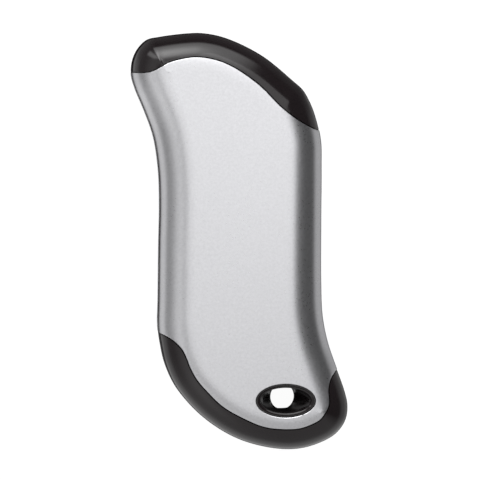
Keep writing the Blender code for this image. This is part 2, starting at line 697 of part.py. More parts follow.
def make_frame(name, side):
    """One half of the moulded frame: walls, skin pocket, window, dish, posts and cell ribs."""
    seam = SEAM_GAP / 2
    frame = place(half_body(name, SKIN_PROUD, side, seam), name, BLACK_PLASTIC)

    pocket_low = HALF_THICKNESS + side * (BAND_HALF - SEAT_GAP)
    pocket_high = HALF_THICKNESS + side * (HALF_THICKNESS + OVERRUN)
    low, high = sorted((pocket_low, pocket_high))
    pocket = place(region(name + "_pocket", SEAT_GAP, low, high), name + "_pocket")
    core = place(half_body(name + "_core", POCKET_FLOOR, side, -OVERRUN), name + "_core")
    boolean(pocket, core)
    boolean(frame, pocket)

    cavity = place(half_body(name + "_cavity", INNER_OFFSET, side, -OVERRUN), name + "_cavity")
    neck_top = HALF_THICKNESS + side * (HALF_THICKNESS - SKIN_PROUD)
    neck_foot = HALF_THICKNESS + side * (HALF_THICKNESS - INNER_OFFSET + FRAME_WALL / 2)
    foot = HALF_THICKNESS + side * seam
    tower = [
        ellipse(DISH_CENTRE, DISH_LENGTH + 2 * DISH_WALL, DISH_WIDTH + 2 * DISH_WALL, foot),
        ellipse(DISH_CENTRE, DISH_LENGTH + 2 * DISH_WALL, DISH_WIDTH + 2 * DISH_WALL, neck_foot),
    ]
    boolean(cavity, place(loft(name + "_tower", tower), name + "_tower"))

    for number, point in enumerate(POSTS):
        post = rod(f"{name}_post_{number + 1}", POST_RADIUS, *sorted((foot, neck_foot)))
        boolean(cavity, place(post, f"{name}_post_{number + 1}", matrix=Matrix.Translation((*point, 0))))
    if side < 0:
        shelf = HALF_THICKNESS + BOARD_UNDERSIDE - SEAT_GAP
        for number, point in enumerate(POSTS[:2]):
            shoulder = rod(f"board_shelf_{number + 1}", POST_RADIUS + POST_SHOULDER, neck_foot, shelf)
            where = Matrix.Translation((*point, 0))
            boolean(cavity, place(shoulder, f"board_shelf_{number + 1}", matrix=where))

    half = RIB_THICKNESS / 2
    for number, share in enumerate(RIB_PLACE_SHARES):
        middle = share * CELL_LENGTH
        rib_name = f"{name}_rib_{number + 1}"
        ends = sorted((side * seam, side * HALF_THICKNESS))
        rib_low = (-BODY_WIDTH, middle - half, ends[0])
        rib_high = (BODY_WIDTH, middle + half, ends[1])
        rib = place(block(rib_name, rib_low, rib_high), rib_name, parent=CELL_FRAME)
        for cell_side in (-1, 1):
            reach = CELL_DIAMETER / 2 + SEAT_GAP
            room = rod(f"{rib_name}_seat", reach, -CELL_LENGTH, CELL_LENGTH, "Y", CELL_STEPS)
            across = cell_side * (CELL_DIAMETER + CELL_SPACING) / 2
            where = Matrix.Translation((across, 0, 0))
            boolean(rib, place(room, f"{rib_name}_seat_{cell_side}", parent=CELL_FRAME, matrix=where))
        across = (CELL_DIAMETER + CELL_SPACING) / 2
        open_low = (-across, middle - OVERRUN, -THICKNESS)
        open_high = (across, middle + OVERRUN, THICKNESS)
        opening = block(f"{rib_name}_opening", open_low, open_high)
        boolean(rib, place(opening, f"{rib_name}_opening", parent=CELL_FRAME))
        boolean(cavity, rib)
    boolean(frame, cavity)

    lip_top = HALF_THICKNESS + SEAM_GAP / 2 + SEAM_LIP_RISE
    if side > 0:
        rebate = (INNER_OFFSET - SEAM_LIP - SEAT_GAP, INNER_OFFSET + 2 * SEAT_GAP)
        boolean(frame, seam_ring("seam_rebate", *rebate, HALF_THICKNESS - OVERRUN, lip_top + SEAT_GAP))
    else:
        lip_foot = HALF_THICKNESS - SEAM_GAP - SEAM_LIP_RISE
        lip = seam_ring("seam_lip", INNER_OFFSET - SEAM_LIP, INNER_OFFSET + FIT_GAP, lip_foot, lip_top)
        boolean(frame, lip, "UNION")

    neck = [
        ellipse(DISH_CENTRE, DISH_LENGTH, DISH_WIDTH, neck_foot),
        ellipse(DISH_CENTRE, DISH_LENGTH, DISH_WIDTH, neck_top),
    ]
    boolean(frame, place(loft(name + "_neck", neck), name + "_neck"), "UNION")
    boolean(frame, place(dish_funnel(name + "_funnel", side), name + "_funnel"))

    margin = 2 * WINDOW_MARGIN
    shape = rounded_rectangle(FILM_WIDTH + margin, FILM_LENGTH + margin, FILM_CORNER + WINDOW_MARGIN)
    ends = sorted((side * CELL_DIAMETER / 2, side * (HALF_THICKNESS + OVERRUN)))
    boolean(frame, place(prism(name + "_window", shape, *ends), name + "_window", parent=CELL_FRAME))

    station, play = tail_notch()
    notch_low = (TAIL_PLACE - TAIL_WIDTH / 2 - SEAT_GAP, 0, ends[0])
    notch_high = (TAIL_PLACE + TAIL_WIDTH / 2 + SEAT_GAP, station + play, ends[1])
    notch = block(name + "_tail_notch", notch_low, notch_high)
    boolean(frame, place(notch, name + "_tail_notch", parent=CELL_FRAME))

    for mesh, parent in frame_cutters(side):
        boolean(frame, place(mesh, mesh.name, parent=parent))

    bite = HALF_THICKNESS - SCREW_BITE - OVERRUN
    for number, point in enumerate(POSTS):
        where = Matrix.Translation((*point, 0))
        shank = rod(f"{name}_screw_hole_{number + 1}", SCREW_RADIUS + FIT_GAP, bite, THICKNESS)
        boolean(frame, place(shank, f"{name}_screw_hole_{number + 1}", matrix=where))
        if side > 0:
            head = rod(f"screw_seat_{number + 1}", SCREW_HEAD_RADIUS + SEAT_GAP, HEAD_SEAT, THICKNESS)
            boolean(frame, place(head, f"screw_seat_{number + 1}", matrix=where))
    return frame


HEAD_SEAT = THICKNESS - POCKET_FLOOR - SCREW_HEAD_HEIGHT - SCREW_SINK


def make_screw(number, point):
    """A self-tapping screw with a flat cheese head, under the rear skin."""
    base = HEAD_SEAT + FIT_GAP
    tip = HALF_THICKNESS - SCREW_BITE
    point_height = SCREW_RADIUS
    profile = [
        (0, base + SCREW_HEAD_HEIGHT), (SCREW_HEAD_RADIUS, base + SCREW_HEAD_HEIGHT),
        (SCREW_HEAD_RADIUS, base), (SCREW_RADIUS, base), (SCREW_RADIUS, tip + point_height), (0, tip),
    ]
    where = Matrix.Translation((*point, 0))
    return turned(f"screw_{number}", profile, STEEL, matrix=where, steps=SCREW_STEPS)


def make_cell(name, across, along):
    """A cylindrical cell: a wrapped can with rounded shoulders and a raised positive cap."""
    radius = CELL_DIAMETER / 2
    top = CELL_LENGTH / 2
    shoulder = CELL_SHOULDER
    can_top = top - CELL_CAP_HEIGHT
    bevel = shoulder * SHOULDER_SHARE
    profile = [
        (0, top), (CELL_CAP_RADIUS, top), (CELL_CAP_RADIUS, can_top), (radius - shoulder, can_top),
        (radius - bevel, can_top - bevel), (radius, can_top - shoulder), (radius, shoulder - top),
        (radius - bevel, bevel - top), (radius - shoulder, -top), (0, -top),
    ]
    where = Matrix.Translation((across, along, 0)) @ Matrix.Rotation(-math.pi / 2, 4, "X")
    return turned(name, profile, CELL_WRAP, CELL_FRAME, where, CELL_STEPS)


def strip_mesh(name, points, thickness, height):
    """A flat strip on edge that follows a bent line in plan."""
    left, right = [], []
    for here, point in enumerate(points):
        before = (point - points[here - 1]).normalized() if here else None
        after = (points[here + 1] - point).normalized() if here + 1 < len(points) else None
        along = (before or after) + (after or before)
        across = Vector((-along.y, along.x)).normalized()
        stretch = 1 / max(abs(along.normalized().dot(before or after)), MITRE_SHARE)
        left.append(point + across * thickness / 2 * stretch)
        right.append(point - across * thickness / 2 * stretch)
    return prism(name, left + right[::-1], -height / 2, height / 2)


def make_cells():
    across = (CELL_DIAMETER + CELL_SPACING) / 2
    along = CELL_STAGGER / 2
    make_cell("battery_cell_left", -across, along)
    make_cell("battery_cell_right", across, -along)
    gap = SEAT_GAP + NICKEL_THICKNESS / 2
    leg = SCREW_RADIUS
    reach = CELL_DIAMETER / 4
    for name, end, turn in (("nickel_strip_top", 1, 1), ("nickel_strip_bottom", -1, -1)):
        near = end * (CELL_LENGTH / 2 + gap)
        route = [
            Vector((-across - reach, along + near)), Vector((turn * leg, along + near)),
            Vector((turn * leg, near - along)), Vector((across + reach, near - along)),
        ]
        place(strip_mesh(name, route, NICKEL_THICKNESS, NICKEL_HEIGHT), name, NICKEL, CELL_FRAME)


def tail_notch():
    """The station and the play of the notch at a window's end that lets a heater film's tail through."""
    return FILM_LENGTH / 2 + SEAT_GAP + FILM_THICKNESS / 2, FILM_THICKNESS / 2 + SEAT_GAP


def board_edge(across):
    """Where the board's rear edge lies along the cells, at a station across them."""
    to_cells = CELL_MATRIX.inverted() @ END_MATRIX
    left = to_cells @ Vector((-BOARD_REACH, -BOARD_DEPTH, 0))
    right = to_cells @ Vector((BOARD_REACH, -BOARD_DEPTH, 0))
    return left.lerp(right, (across - left.x) / (right.x - left.x)).y


def make_heater(tag, side):
    """A heater film behind a skin, with a tail over the cell to the board, and its foam pad."""
    film_out = HALF_THICKNESS - POCKET_FLOOR
    film_in = film_out - FILM_THICKNESS
    foam_out = film_in - SEAT_GAP
    foam_in = foam_out - FOAM_THICKNESS
    shape = rounded_rectangle(FILM_WIDTH, FILM_LENGTH, FILM_CORNER)
    film = prism("heater_film_" + tag, shape, *sorted((side * film_in, side * film_out)))
    foam = prism("foam_pad_" + tag, shape, *sorted((side * foam_in, side * foam_out)))
    film = place(film, "heater_film_" + tag, HEATER_AMBER, CELL_FRAME)
    place(foam, "foam_pad_" + tag, FOAM_GREY, CELL_FRAME)

    outer = side * (film_in + film_out) / 2
    over = side * (CELL_DIAMETER / 2 + SEAT_GAP + FILM_THICKNESS / 2)
    rest = BOARD_TOP if side > 0 else BOARD_UNDERSIDE
    landing = rest + side * (SEAT_GAP + FILM_THICKNESS / 2)
    step_down = tail_notch()[0]
    end_of_cell = (CELL_LENGTH + CELL_STAGGER) / 2
    edge = max(board_edge(TAIL_PLACE - TAIL_WIDTH / 2), board_edge(TAIL_PLACE + TAIL_WIDTH / 2))
    clear = end_of_cell + NICKEL_THICKNESS + TAIL_ROOM
    route = [
        Vector((step_down - FILM_CORNER, outer)), Vector((step_down, outer)), Vector((step_down, over)),
        Vector((end_of_cell, over)), Vector((clear, over * TAIL_DROP_SHARE)),
        Vector((clear + NICKEL_THICKNESS, landing + side * CELL_SHOULDER)), Vector((edge, landing)),
        Vector((edge + TAIL_LANDING, landing)),
    ]
    tail = strip_mesh("heater_tail_" + tag, route, FILM_THICKNESS, TAIL_WIDTH)
    tail.transform(Matrix(((0, 0, 1, TAIL_PLACE), (1, 0, 0, 0), (0, 1, 0, 0), (0, 0, 0, 1))))
    boolean(film, place(tail, "heater_tail_" + tag, parent=CELL_FRAME), "UNION")


def make_sensors():
    rise = CELL_DIAMETER / 2 - SENSOR_RADIUS
    bead = rod("thermistor", SENSOR_RADIUS, -SENSOR_LENGTH / 2, SENSOR_LENGTH / 2, "Y", BEAD_STEPS)
    fuse = rod("thermal_fuse", SENSOR_RADIUS, -FUSE_LENGTH / 2, FUSE_LENGTH / 2, "Y", BEAD_STEPS)
    place(bead, "thermistor", EPOXY_BEAD, CELL_FRAME, Matrix.Translation((0, 0, rise)))
    place(fuse, "thermal_fuse", STEEL, CELL_FRAME, Matrix.Translation((0, 0, -rise)))


def make_board():
    """The main board: it follows the inside of the end wall, with a bay for the larger socket."""
    low = (-BOARD_REACH, -BOARD_DEPTH, BOARD_UNDERSIDE)
    high = (BOARD_REACH, OVERRUN, BOARD_TOP)
    board = place(block("main_board", low, high), "main_board", BOARD_GREEN, END_FRAME)
    edge = prism("board_edge", inset(INNER_OFFSET + 2 * SEAT_GAP), 0, THICKNESS)
    boolean(board, place(edge, "board_edge"), "INTERSECT")
    bay_low = (USB_A_PLACE - USB_A_WIDTH / 2 - SEAT_GAP, USB_A_BACK - SEAT_GAP, -HALF_THICKNESS)
    bay_high = (USB_A_PLACE + USB_A_WIDTH / 2 + SEAT_GAP, OVERRUN, HALF_THICKNESS)
    boolean(board, place(block("board_bay", bay_low, bay_high), "board_bay", parent=END_FRAME))
    flange_length = BUTTON_LENGTH + 2 * BUTTON_FLANGE_LIP + 2 * SEAT_GAP
    flange_back = BUTTON_FLANGE_DEPTH + SEAT_GAP + BUTTON_FLANGE + BUTTON_TRAVEL + SEAT_GAP
    notch_low = (-flange_length / 2, -flange_back, -HALF_THICKNESS)
    notch_high = (flange_length / 2, OVERRUN, HALF_THICKNESS)
    boolean(board, place(block("board_notch", notch_low, notch_high), "board_notch", parent=BUTTON_FRAME))
    bite = rod("board_bite", POST_RADIUS + SEAT_GAP, 0, THICKNESS)
    boolean(board, place(bite, "board_bite", matrix=Matrix.Translation((*POSTS[1], 0))))


def make_socket(name, across, ends, middle, height, tongue_side, tongue_span, block_depth):
    """A socket: a folded metal shell open to the front, and an insulator with its tongue inside."""
    along, width = across
    front, back = ends
    low = (along - width / 2, back, middle - height / 2)
    high = (along + width / 2, front, middle + height / 2)
    shell = place(block(name + "_shell", low, high, SOCKET_CORNER), name + "_shell", STEEL, END_FRAME)
    wall = USB_WALL
    hollow_low = (low[0] + wall, back - OVERRUN, low[2] + wall)
    hollow_high = (high[0] - wall, front + OVERRUN, high[2] - wall)
    hollow = block(name + "_hollow", hollow_low, hollow_high, SOCKET_CORNER / 2)
    boolean(shell, place(hollow, name + "_hollow", parent=END_FRAME))
    inner = wall + FIT_GAP
    seat_low = (low[0] + inner, back, low[2] + inner)
    seat_high = (high[0] - inner, back + block_depth, high[2] - inner)
    seat = block(name + "_insulator", seat_low, seat_high)
    insulator = place(seat, name + "_insulator", INSULATOR, END_FRAME)
    reach = width / 2 - wall - tongue_side
    tongue_low = (along - reach, back + block_depth / 2, middle + tongue_span[0])
    tongue_high = (along + reach, front - TONGUE_SETBACK, middle + tongue_span[1])
    tongue = place(block(name + "_tongue", tongue_low, tongue_high), name + "_tongue", parent=END_FRAME)
    boolean(insulator, tongue, "UNION")


def make_light_pipe():
    """One clear moulding: four pegs through the end wall, joined behind it, with legs to the lights."""
    half = LIGHT_PEG / 2
    places = light_places()
    bridge_low = (places[0] - half, -LIGHT_REACH, LIGHT_RISE - half)
    bridge_high = (places[-1] + half, -LIGHT_REACH + LIGHT_PITCH, LIGHT_RISE + half)
    pipe = place(block("light_pipe", bridge_low, bridge_high), "light_pipe", CLEAR_PLASTIC, END_FRAME)
    foot = BOARD_TOP + FIT_GAP + LED_HEIGHT + FIT_GAP
    for number, along in enumerate(places):
        peg_low = (along - half, -LIGHT_REACH + half, LIGHT_RISE - half)
        peg_high = (along + half, OVERRUN, LIGHT_RISE + half)
        peg_name = f"light_peg_{number + 1}"
        boolean(pipe, place(block(peg_name, peg_low, peg_high), peg_name, parent=END_FRAME), "UNION")
        leg_low = (along - half, -LIGHT_REACH, foot)
        leg_high = (along + half, -LIGHT_REACH + LIGHT_PEG, LIGHT_RISE)
        leg_name = f"light_leg_{number + 1}"
        boolean(pipe, place(block(leg_name, leg_low, leg_high), leg_name, parent=END_FRAME), "UNION")
        led_middle = -LIGHT_REACH + half
        led_low = (along - LED_WIDTH / 2, led_middle - LED_WIDTH / 2, BOARD_TOP + FIT_GAP)
        led_high = (along + LED_WIDTH / 2, led_middle + LED_WIDTH / 2, BOARD_TOP + FIT_GAP + LED_HEIGHT)
        name = f"charge_led_{number + 1}"
        place(block(name, led_low, led_high), name, LED_WHITE, END_FRAME)
    face = place(half_body("light_face", SKIN_PROUD, 1, 0), "light_face")
    boolean(pipe, face, "INTERSECT")


def make_button():
    """The power button: a pill-shaped cap with a flange behind the wall and a stem on the switch."""
    flange_front = -BUTTON_FLANGE_DEPTH - SEAT_GAP
    flange_back = flange_front - BUTTON_FLANGE
    cap = pill("power_button", BUTTON_LENGTH, BUTTON_WIDTH, flange_front - BUTTON_FLANGE / 2, OVERRUN)
    button = place(cap, "power_button", BUTTON_PLASTIC, BUTTON_FRAME)
    face = place(half_body("button_face", SKIN_PROUD + BUTTON_SINK, 1, -BAND_HALF), "button_face")
    boolean(button, face, "INTERSECT")
    lip = 2 * BUTTON_FLANGE_LIP
    flange = pill("button_flange", BUTTON_LENGTH + lip, BUTTON_WIDTH + lip, flange_back, flange_front)
    boolean(button, place(flange, "button_flange", parent=BUTTON_FRAME), "UNION")
    stem_end = flange_back - BUTTON_STEM_LENGTH
    stem = rod("button_stem", BUTTON_STEM_RADIUS, stem_end, flange_back + BUTTON_FLANGE / 2, "Y", SCREW_STEPS)
    boolean(button, place(stem, "button_stem", parent=BUTTON_FRAME), "UNION")

    plunger_front = stem_end - FIT_GAP
    plunger_back = plunger_front - PLUNGER_LENGTH
    body_front = plunger_back + PLUNGER_SINK
    body_back = body_front - SWITCH_DEPTH
    low = (-SWITCH_WIDTH / 2, body_back, BOARD_TOP + FIT_GAP)
    high = (SWITCH_WIDTH / 2, body_front, BOARD_DROP)
    body = place(block("switch_body", low, high), "switch_body", INSULATOR, BUTTON_FRAME)
    bottom = plunger_back - BUTTON_TRAVEL - FIT_GAP
    well = rod("switch_well", PLUNGER_RADIUS + FIT_GAP, bottom, OVERRUN, "Y", SCREW_STEPS)
    boolean(body, place(well, "switch_well", parent=BUTTON_FRAME))
    plunger = rod("switch_plunger", PLUNGER_RADIUS, plunger_back, plunger_front, "Y", SCREW_STEPS)
    place(plunger, "switch_plunger", STEEL, BUTTON_FRAME)


def chip(name, size, along, out, finish, under=False):
    """A small component on one side of the board."""
    foot = BOARD_UNDERSIDE - FIT_GAP - size[2] if under else BOARD_TOP + FIT_GAP
    low = (along - size[0] / 2, out - size[1] / 2, foot)
    high = (along + size[0] / 2, out + size[1] / 2, foot + size[2])
    return place(block(name, low, high), name, finish, END_FRAME)


def make_chips():
    """Components on the board: two in a row behind the lights, and three under it behind a socket."""
    row = LIGHT_PEG / 2 - LIGHT_REACH - LED_WIDTH / 2 - CHIP_SPACING
    controller_along = CHIP_SPACING + CHIP_SIZE[0] / 2
    chip("controller_chip", CHIP_SIZE, controller_along, row - CHIP_SIZE[1] / 2, CHIP_BLACK)
    charger_along = 2 * CHIP_SPACING + CHIP_SIZE[0] + CHARGER_SIZE[0] / 2
    chip("charger_chip", CHARGER_SIZE, charger_along, row - CHARGER_SIZE[1] / 2, CHIP_BLACK)

    behind = MICRO_BACK - CHIP_SPACING
    inductor_along = MICRO_PLACE + INDUCTOR_SIZE[0] / 2
    chip("inductor", INDUCTOR_SIZE, inductor_along, behind - INDUCTOR_SIZE[1] / 2, FERRITE, True)
    beside = MICRO_PLACE - SEAT_GAP - CAPACITOR_SIZE[0] / 2
    for number in (1, 2):
        out = behind - CAPACITOR_SIZE[1] / 2 - (number - 1) * (CAPACITOR_SIZE[1] + SEAT_GAP)
        chip(f"capacitor_{number}", CAPACITOR_SIZE, beside, out, CERAMIC, True)


def make_lead(name, points, finish):
    """An insulated wire along a smooth curve through the points of its route."""
    curve = bpy.data.curves.new(name, "CURVE")
    curve.dimensions = "3D"
    curve.bevel_depth = LEAD_RADIUS
    curve.bevel_resolution = LEAD_BEVEL_STEPS
    curve.use_fill_caps = True
    route = smooth_points([Vector(point) for point in points], False, LEAD_FINENESS)
    spline = curve.splines.new("POLY")
    spline.points.add(len(route) - 1)
    for station, point in zip(spline.points, route):
        station.co = (*point, 1)
    lead = bpy.data.objects.new(name, curve)
    PARTS.objects.link(lead)
    curve.materials.append(finish)
    lead.parent = CELL_FRAME
    return lead


def make_leads():
    """The two cell leads, from the lower edges of the nickel strips to the board's underside."""
    edge = -NICKEL_HEIGHT / 2 - SEAT_GAP
    under = BOARD_UNDERSIDE - SEAT_GAP - LEAD_RADIUS
    sag = under - LEAD_RADIUS
    strip = (CELL_LENGTH + CELL_STAGGER) / 2 + SEAT_GAP + NICKEL_THICKNESS / 2
    across = -CELL_DIAMETER * LEAD_PLACE_SHARE
    landing = board_edge(across) + TAIL_LANDING
    positive = [
        (across, strip, edge), (across, strip, edge - LEAD_RADIUS), (across, strip + 2 * LEAD_RADIUS, sag),
        (across, landing, under), (across, landing + TAIL_LANDING, under),
    ]
    make_lead("cell_lead_positive", positive, LEAD_RED)
    leg = -SCREW_RADIUS
    low = -CELL_LENGTH / 2
    valley = -CELL_DIAMETER * LEAD_VALLEY_SHARE
    across = leg
    landing = board_edge(across) + TAIL_LANDING
    negative = [
        (leg, low, edge), (leg, low, edge - 2 * LEAD_RADIUS), (leg / 2, low + CELL_STAGGER / 3, valley),
        (0, low + CELL_STAGGER, valley), (0, low / 2, valley), (0, 0, valley), (0, -low / 2, valley),
        (0, -low, valley), (leg / 2, landing - CELL_STAGGER / 3, sag),
        (leg, landing + TAIL_LANDING, under), (leg, landing + 2 * TAIL_LANDING, under),
    ]
    make_lead("cell_lead_negative", negative, LEAD_BLACK)


def main():
    make_skin("rear_skin", 1)
    make_skin("front_skin", -1)
    make_frame("frame_rear", 1)
    make_frame("frame_front", -1)
    for number, point in enumerate(POSTS):
        make_screw(number + 1, point)
    make_cells()
    make_heater("rear", 1)
    make_heater("front", -1)
    make_sensors()
    make_board()
    tongue_top = USB_A_HEIGHT / 2 - USB_WALL - USB_A_TONGUE_TOP
    make_socket(
        "usb_a", (USB_A_PLACE, USB_A_WIDTH), (USB_A_MOUTH, USB_A_BACK), 0, USB_A_HEIGHT,
        USB_A_TONGUE_SIDE, (tongue_top - USB_A_TONGUE_HEIGHT, tongue_top), USB_BLOCK_DEPTH,
    )
    make_socket(
        "micro_usb", (MICRO_PLACE, MICRO_WIDTH), (MICRO_MOUTH, MICRO_BACK), MICRO_MIDDLE, MICRO_HEIGHT,
        MICRO_TONGUE_SIDE, (-MICRO_TONGUE_HEIGHT / 2, MICRO_TONGUE_HEIGHT / 2), MICRO_BLOCK_DEPTH,
    )
    make_light_pipe()
    make_button()
    make_chips()
    make_leads()


main()
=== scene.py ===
import bisect
import math

import bmesh
import bpy
from mathutils import Matrix, Vector


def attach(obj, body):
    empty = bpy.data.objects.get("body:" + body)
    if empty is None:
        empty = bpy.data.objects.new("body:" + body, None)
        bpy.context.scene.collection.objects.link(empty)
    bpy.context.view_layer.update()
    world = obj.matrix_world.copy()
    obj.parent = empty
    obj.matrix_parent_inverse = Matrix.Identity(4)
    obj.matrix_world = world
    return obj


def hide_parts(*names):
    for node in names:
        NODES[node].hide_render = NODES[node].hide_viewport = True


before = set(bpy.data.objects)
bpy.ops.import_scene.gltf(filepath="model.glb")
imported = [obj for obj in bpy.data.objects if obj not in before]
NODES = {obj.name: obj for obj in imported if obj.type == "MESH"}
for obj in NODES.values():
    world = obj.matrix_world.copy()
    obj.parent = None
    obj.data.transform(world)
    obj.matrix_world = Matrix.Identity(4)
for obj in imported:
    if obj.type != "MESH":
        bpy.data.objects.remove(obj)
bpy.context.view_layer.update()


# Battery cells. Two rolled steel cans, each in a heat-shrunk film sleeve that turns over its ends.
# They lie side by side, one a little further up than the other, and their axes lean a degree or so.

CELL_LEAN = math.radians(1.2)
CELL_MIDDLE = (0.0001, 0.0008, 0.01275)
SLEEVE_HALF = 0.0335


class Term:
    """The value of one socket, with the operators that shader maths is written in."""

    def __init__(self, finish, socket):
        self.finish = finish
        self.socket = socket

    def maths(self, operation, first, second=None):
        values = {0: first} if second is None else {0: first, 1: second}
        return self.finish.node("ShaderNodeMath", {"operation": operation}, values)

    def __add__(self, other):
        return self.maths("ADD", self, other)

    def __radd__(self, other):
        return self.maths("ADD", other, self)

    def __sub__(self, other):
        return self.maths("SUBTRACT", self, other)

    def __rsub__(self, other):
        return self.maths("SUBTRACT", other, self)

    def __mul__(self, other):
        return self.maths("MULTIPLY", self, other)

    def __rmul__(self, other):
        return self.maths("MULTIPLY", other, self)

    def __truediv__(self, other):
        return self.maths("DIVIDE", self, other)

    def __gt__(self, other):
        return self.maths("GREATER_THAN", self, other)

    def __lt__(self, other):
        return self.maths("LESS_THAN", self, other)

    def __abs__(self):
        return self.maths("ABSOLUTE", self)

    def __neg__(self):
        return self * -1.0

    def wrapped(self, span):
        return self.maths("WRAP", self, span)

    def above_zero(self):
        return self.maths("MAXIMUM", self, 0.0)

    def rising(self, low, high):
        """0 below one value and 1 above another, with a smooth rise between them."""
        values = {"Value": self, "From Min": low, "From Max": high}
        return self.finish.node("ShaderNodeMapRange", {"interpolation_type": "SMOOTHSTEP"}, values)


class Recipe:
    """Nodes in one tree. Every node is added by node()."""

    def __init__(self, tree):
        self.tree = tree

    def fill(self, socket, value):
        if isinstance(value, Term):
            self.tree.links.new(value.socket, socket)
        elif isinstance(value, tuple) and len(value) == 3 and socket.type == "RGBA":
            socket.default_value = (*value, 1.0)
        else:
            socket.default_value = value

    def node(self, kind, settings, values, output=0):
        """Adds a node: its settings first, then the values or links of its sockets."""
        made = self.tree.nodes.new(kind)
        for key, value in settings.items():
            if key == "stops":
                ramp = made.color_ramp
                while len(ramp.elements) < len(value):
                    ramp.elements.new(0.5)
                for element, (at, level) in zip(ramp.elements, value):
                    element.position = at
                    element.color = (level, level, level, 1.0)
            else:
                setattr(made, key, value)
        for key, value in values.items():
            self.fill(made.inputs[key], value)
        return Term(self, made.outputs[output])

    def axes(self, vector):
        made = self.node("ShaderNodeSeparateXYZ", {}, {0: vector})
        return [Term(self, output) for output in made.socket.node.outputs]


class Finish(Recipe):
    """A surface finish: one material, with the shader's own constants given by name."""

    def __init__(self, name, colour, roughness, **constants):
        self.material = bpy.data.materials.new(name)
        self.material.use_nodes = True
        super().__init__(self.material.node_tree)
        self.shader = self.tree.nodes["Principled BSDF"]
        self.shader.inputs["Base Color"].default_value = (*colour, 1.0)
        self.shader.inputs["Roughness"].default_value = roughness
        for key, value in constants.items():
            self.shader.inputs[key.replace("_", " ").title()].default_value = value

    def place(self, offset=(0, 0, 0), turn=0.0):
        """Object coordinates, centred on a point and turned about Z to lie along a piece."""
        here = self.node("ShaderNodeTexCoord", {}, {}, "Object")
        shifted = self.node("ShaderNodeVectorMath", {"operation": "SUBTRACT"}, {0: here, 1: offset})
        return self.node("ShaderNodeMapping", {}, {"Vector": shifted, "Rotation": (0, 0, -turn)})

    def noise(self, where, scale, detail=2.0, roughness=0.5):
        values = {"Vector": where, "Scale": scale, "Detail": detail, "Roughness": roughness}
        return self.node("ShaderNodeTexNoise", {}, values, "Fac")

    def ramp(self, value, *stops):
        return self.node("ShaderNodeValToRGB", {"stops": stops}, {0: value})

    def mix(self, share, first, second):
        """A colour between two others."""
        return self.node("ShaderNodeMix", {"data_type": "RGBA"}, {0: share, 6: first, 7: second}, 2)

    def colour(self, value):
        self.fill(self.shader.inputs["Base Color"], value)
        return self

    def rough(self, value):
        self.fill(self.shader.inputs["Roughness"], value)
        return self

    def bump(self, height, distance):
        made = self.node("ShaderNodeBump", {}, {"Height": height, "Distance": distance})
        self.fill(self.shader.inputs["Normal"], made)
        return self


def dress(finish, *names):
    """Gives CAD nodes that stay as they are a finish of their own."""
    for name in names:
        for slot in NODES[name].material_slots:
            slot.material = finish.material


def sleeve_finish():
    """Shrunk film: glossy blue with faint draw lines along the can, and bare steel at its ends."""
    finish = Finish("shrunk_sleeve", (0.03, 0.16, 0.42), 0.3, coat_weight=0.25)
    where = finish.place(CELL_MIDDLE, CELL_LEAN)
    along = finish.axes(where)[1]
    stretched = finish.node("ShaderNodeMapping", {}, {"Vector": where, "Scale": (900, 60, 900)})
    draw = finish.noise(stretched, 1.0, 3.0)
    rim = abs(along) > SLEEVE_HALF
    blue = finish.mix(draw, (0.02, 0.13, 0.38), (0.04, 0.19, 0.47))
    finish.colour(finish.mix(rim, blue, (0.62, 0.61, 0.58)))
    finish.rough(draw * 0.16 + 0.24)
    return finish.bump(draw, 0.00003)


dress(sleeve_finish(), "battery_cell_left", "battery_cell_right")


# Nickel strips. Stamped from thin pure nickel and spot-welded over the cells' ends, four spots to a cell.
# They are on edge across the stagger between the two cans.


def nickel_finish():
    finish = Finish("rolled_nickel", (0.62, 0.59, 0.53), 0.3, metallic=1.0)
    where = finish.place(CELL_MIDDLE, CELL_LEAN)
    stretched = finish.node("ShaderNodeMapping", {}, {"Vector": where, "Scale": (200, 200, 6000)})
    rolled = finish.noise(stretched, 1.0)
    spots = finish.node("ShaderNodeTexVoronoi", {}, {"Vector": where, "Scale": 420.0, "Randomness": 0.0}, 0)
    weld = spots < 0.24
    finish.colour(finish.mix(weld, (0.62, 0.59, 0.53), (0.24, 0.22, 0.20)))
    finish.rough(rolled * 0.2 + weld * 0.2 + 0.18)
    return finish.bump(rolled - weld, 0.00002)


dress(nickel_finish(), "nickel_strip_top", "nickel_strip_bottom")


# Heater films and foam. Each film is amber polyimide over an etched foil track that runs to and fro.
# The foam behind it is die-cut from sheet, and its springiness holds the film against the skin.

TRACK_PITCH = 0.0024
TRACK_HALF = 0.0118


def heater_finish():
    finish = Finish("polyimide_over_foil", (0.55, 0.24, 0.04), 0.3)
    across, along = finish.axes(finish.place(CELL_MIDDLE, CELL_LEAN))[:2]
    rows = along.wrapped(TRACK_PITCH) / TRACK_PITCH
    track = (rows > 0.22) * (rows < 0.78) * (abs(across) < TRACK_HALF)
    grain = finish.noise(finish.place(), 2500.0)
    finish.colour(finish.mix(track, (0.50, 0.20, 0.03), (0.62, 0.33, 0.10)))
    finish.rough(grain * 0.15 + 0.25)
    return finish.bump(track + grain * 0.1, 0.00003)


def foam_finish():
    finish = Finish("cellular_foam", (0.10, 0.10, 0.11), 0.9)
    cells = finish.node("ShaderNodeTexVoronoi", {}, {"Vector": finish.place(), "Scale": 2600.0}, 0)
    finish.colour(finish.mix(cells, (0.035, 0.035, 0.04), (0.16, 0.16, 0.17)))
    finish.rough(0.96 - cells * 0.12)
    return finish.bump(cells, 0.00012)


dress(heater_finish(), "heater_film_rear", "heater_film_front")
dress(foam_finish(), "foam_pad_rear", "foam_pad_front")


# Sensors in the valleys between the cells. The thermistor is a bead dipped in epoxy, and the thermal fuse
# is a plated can.


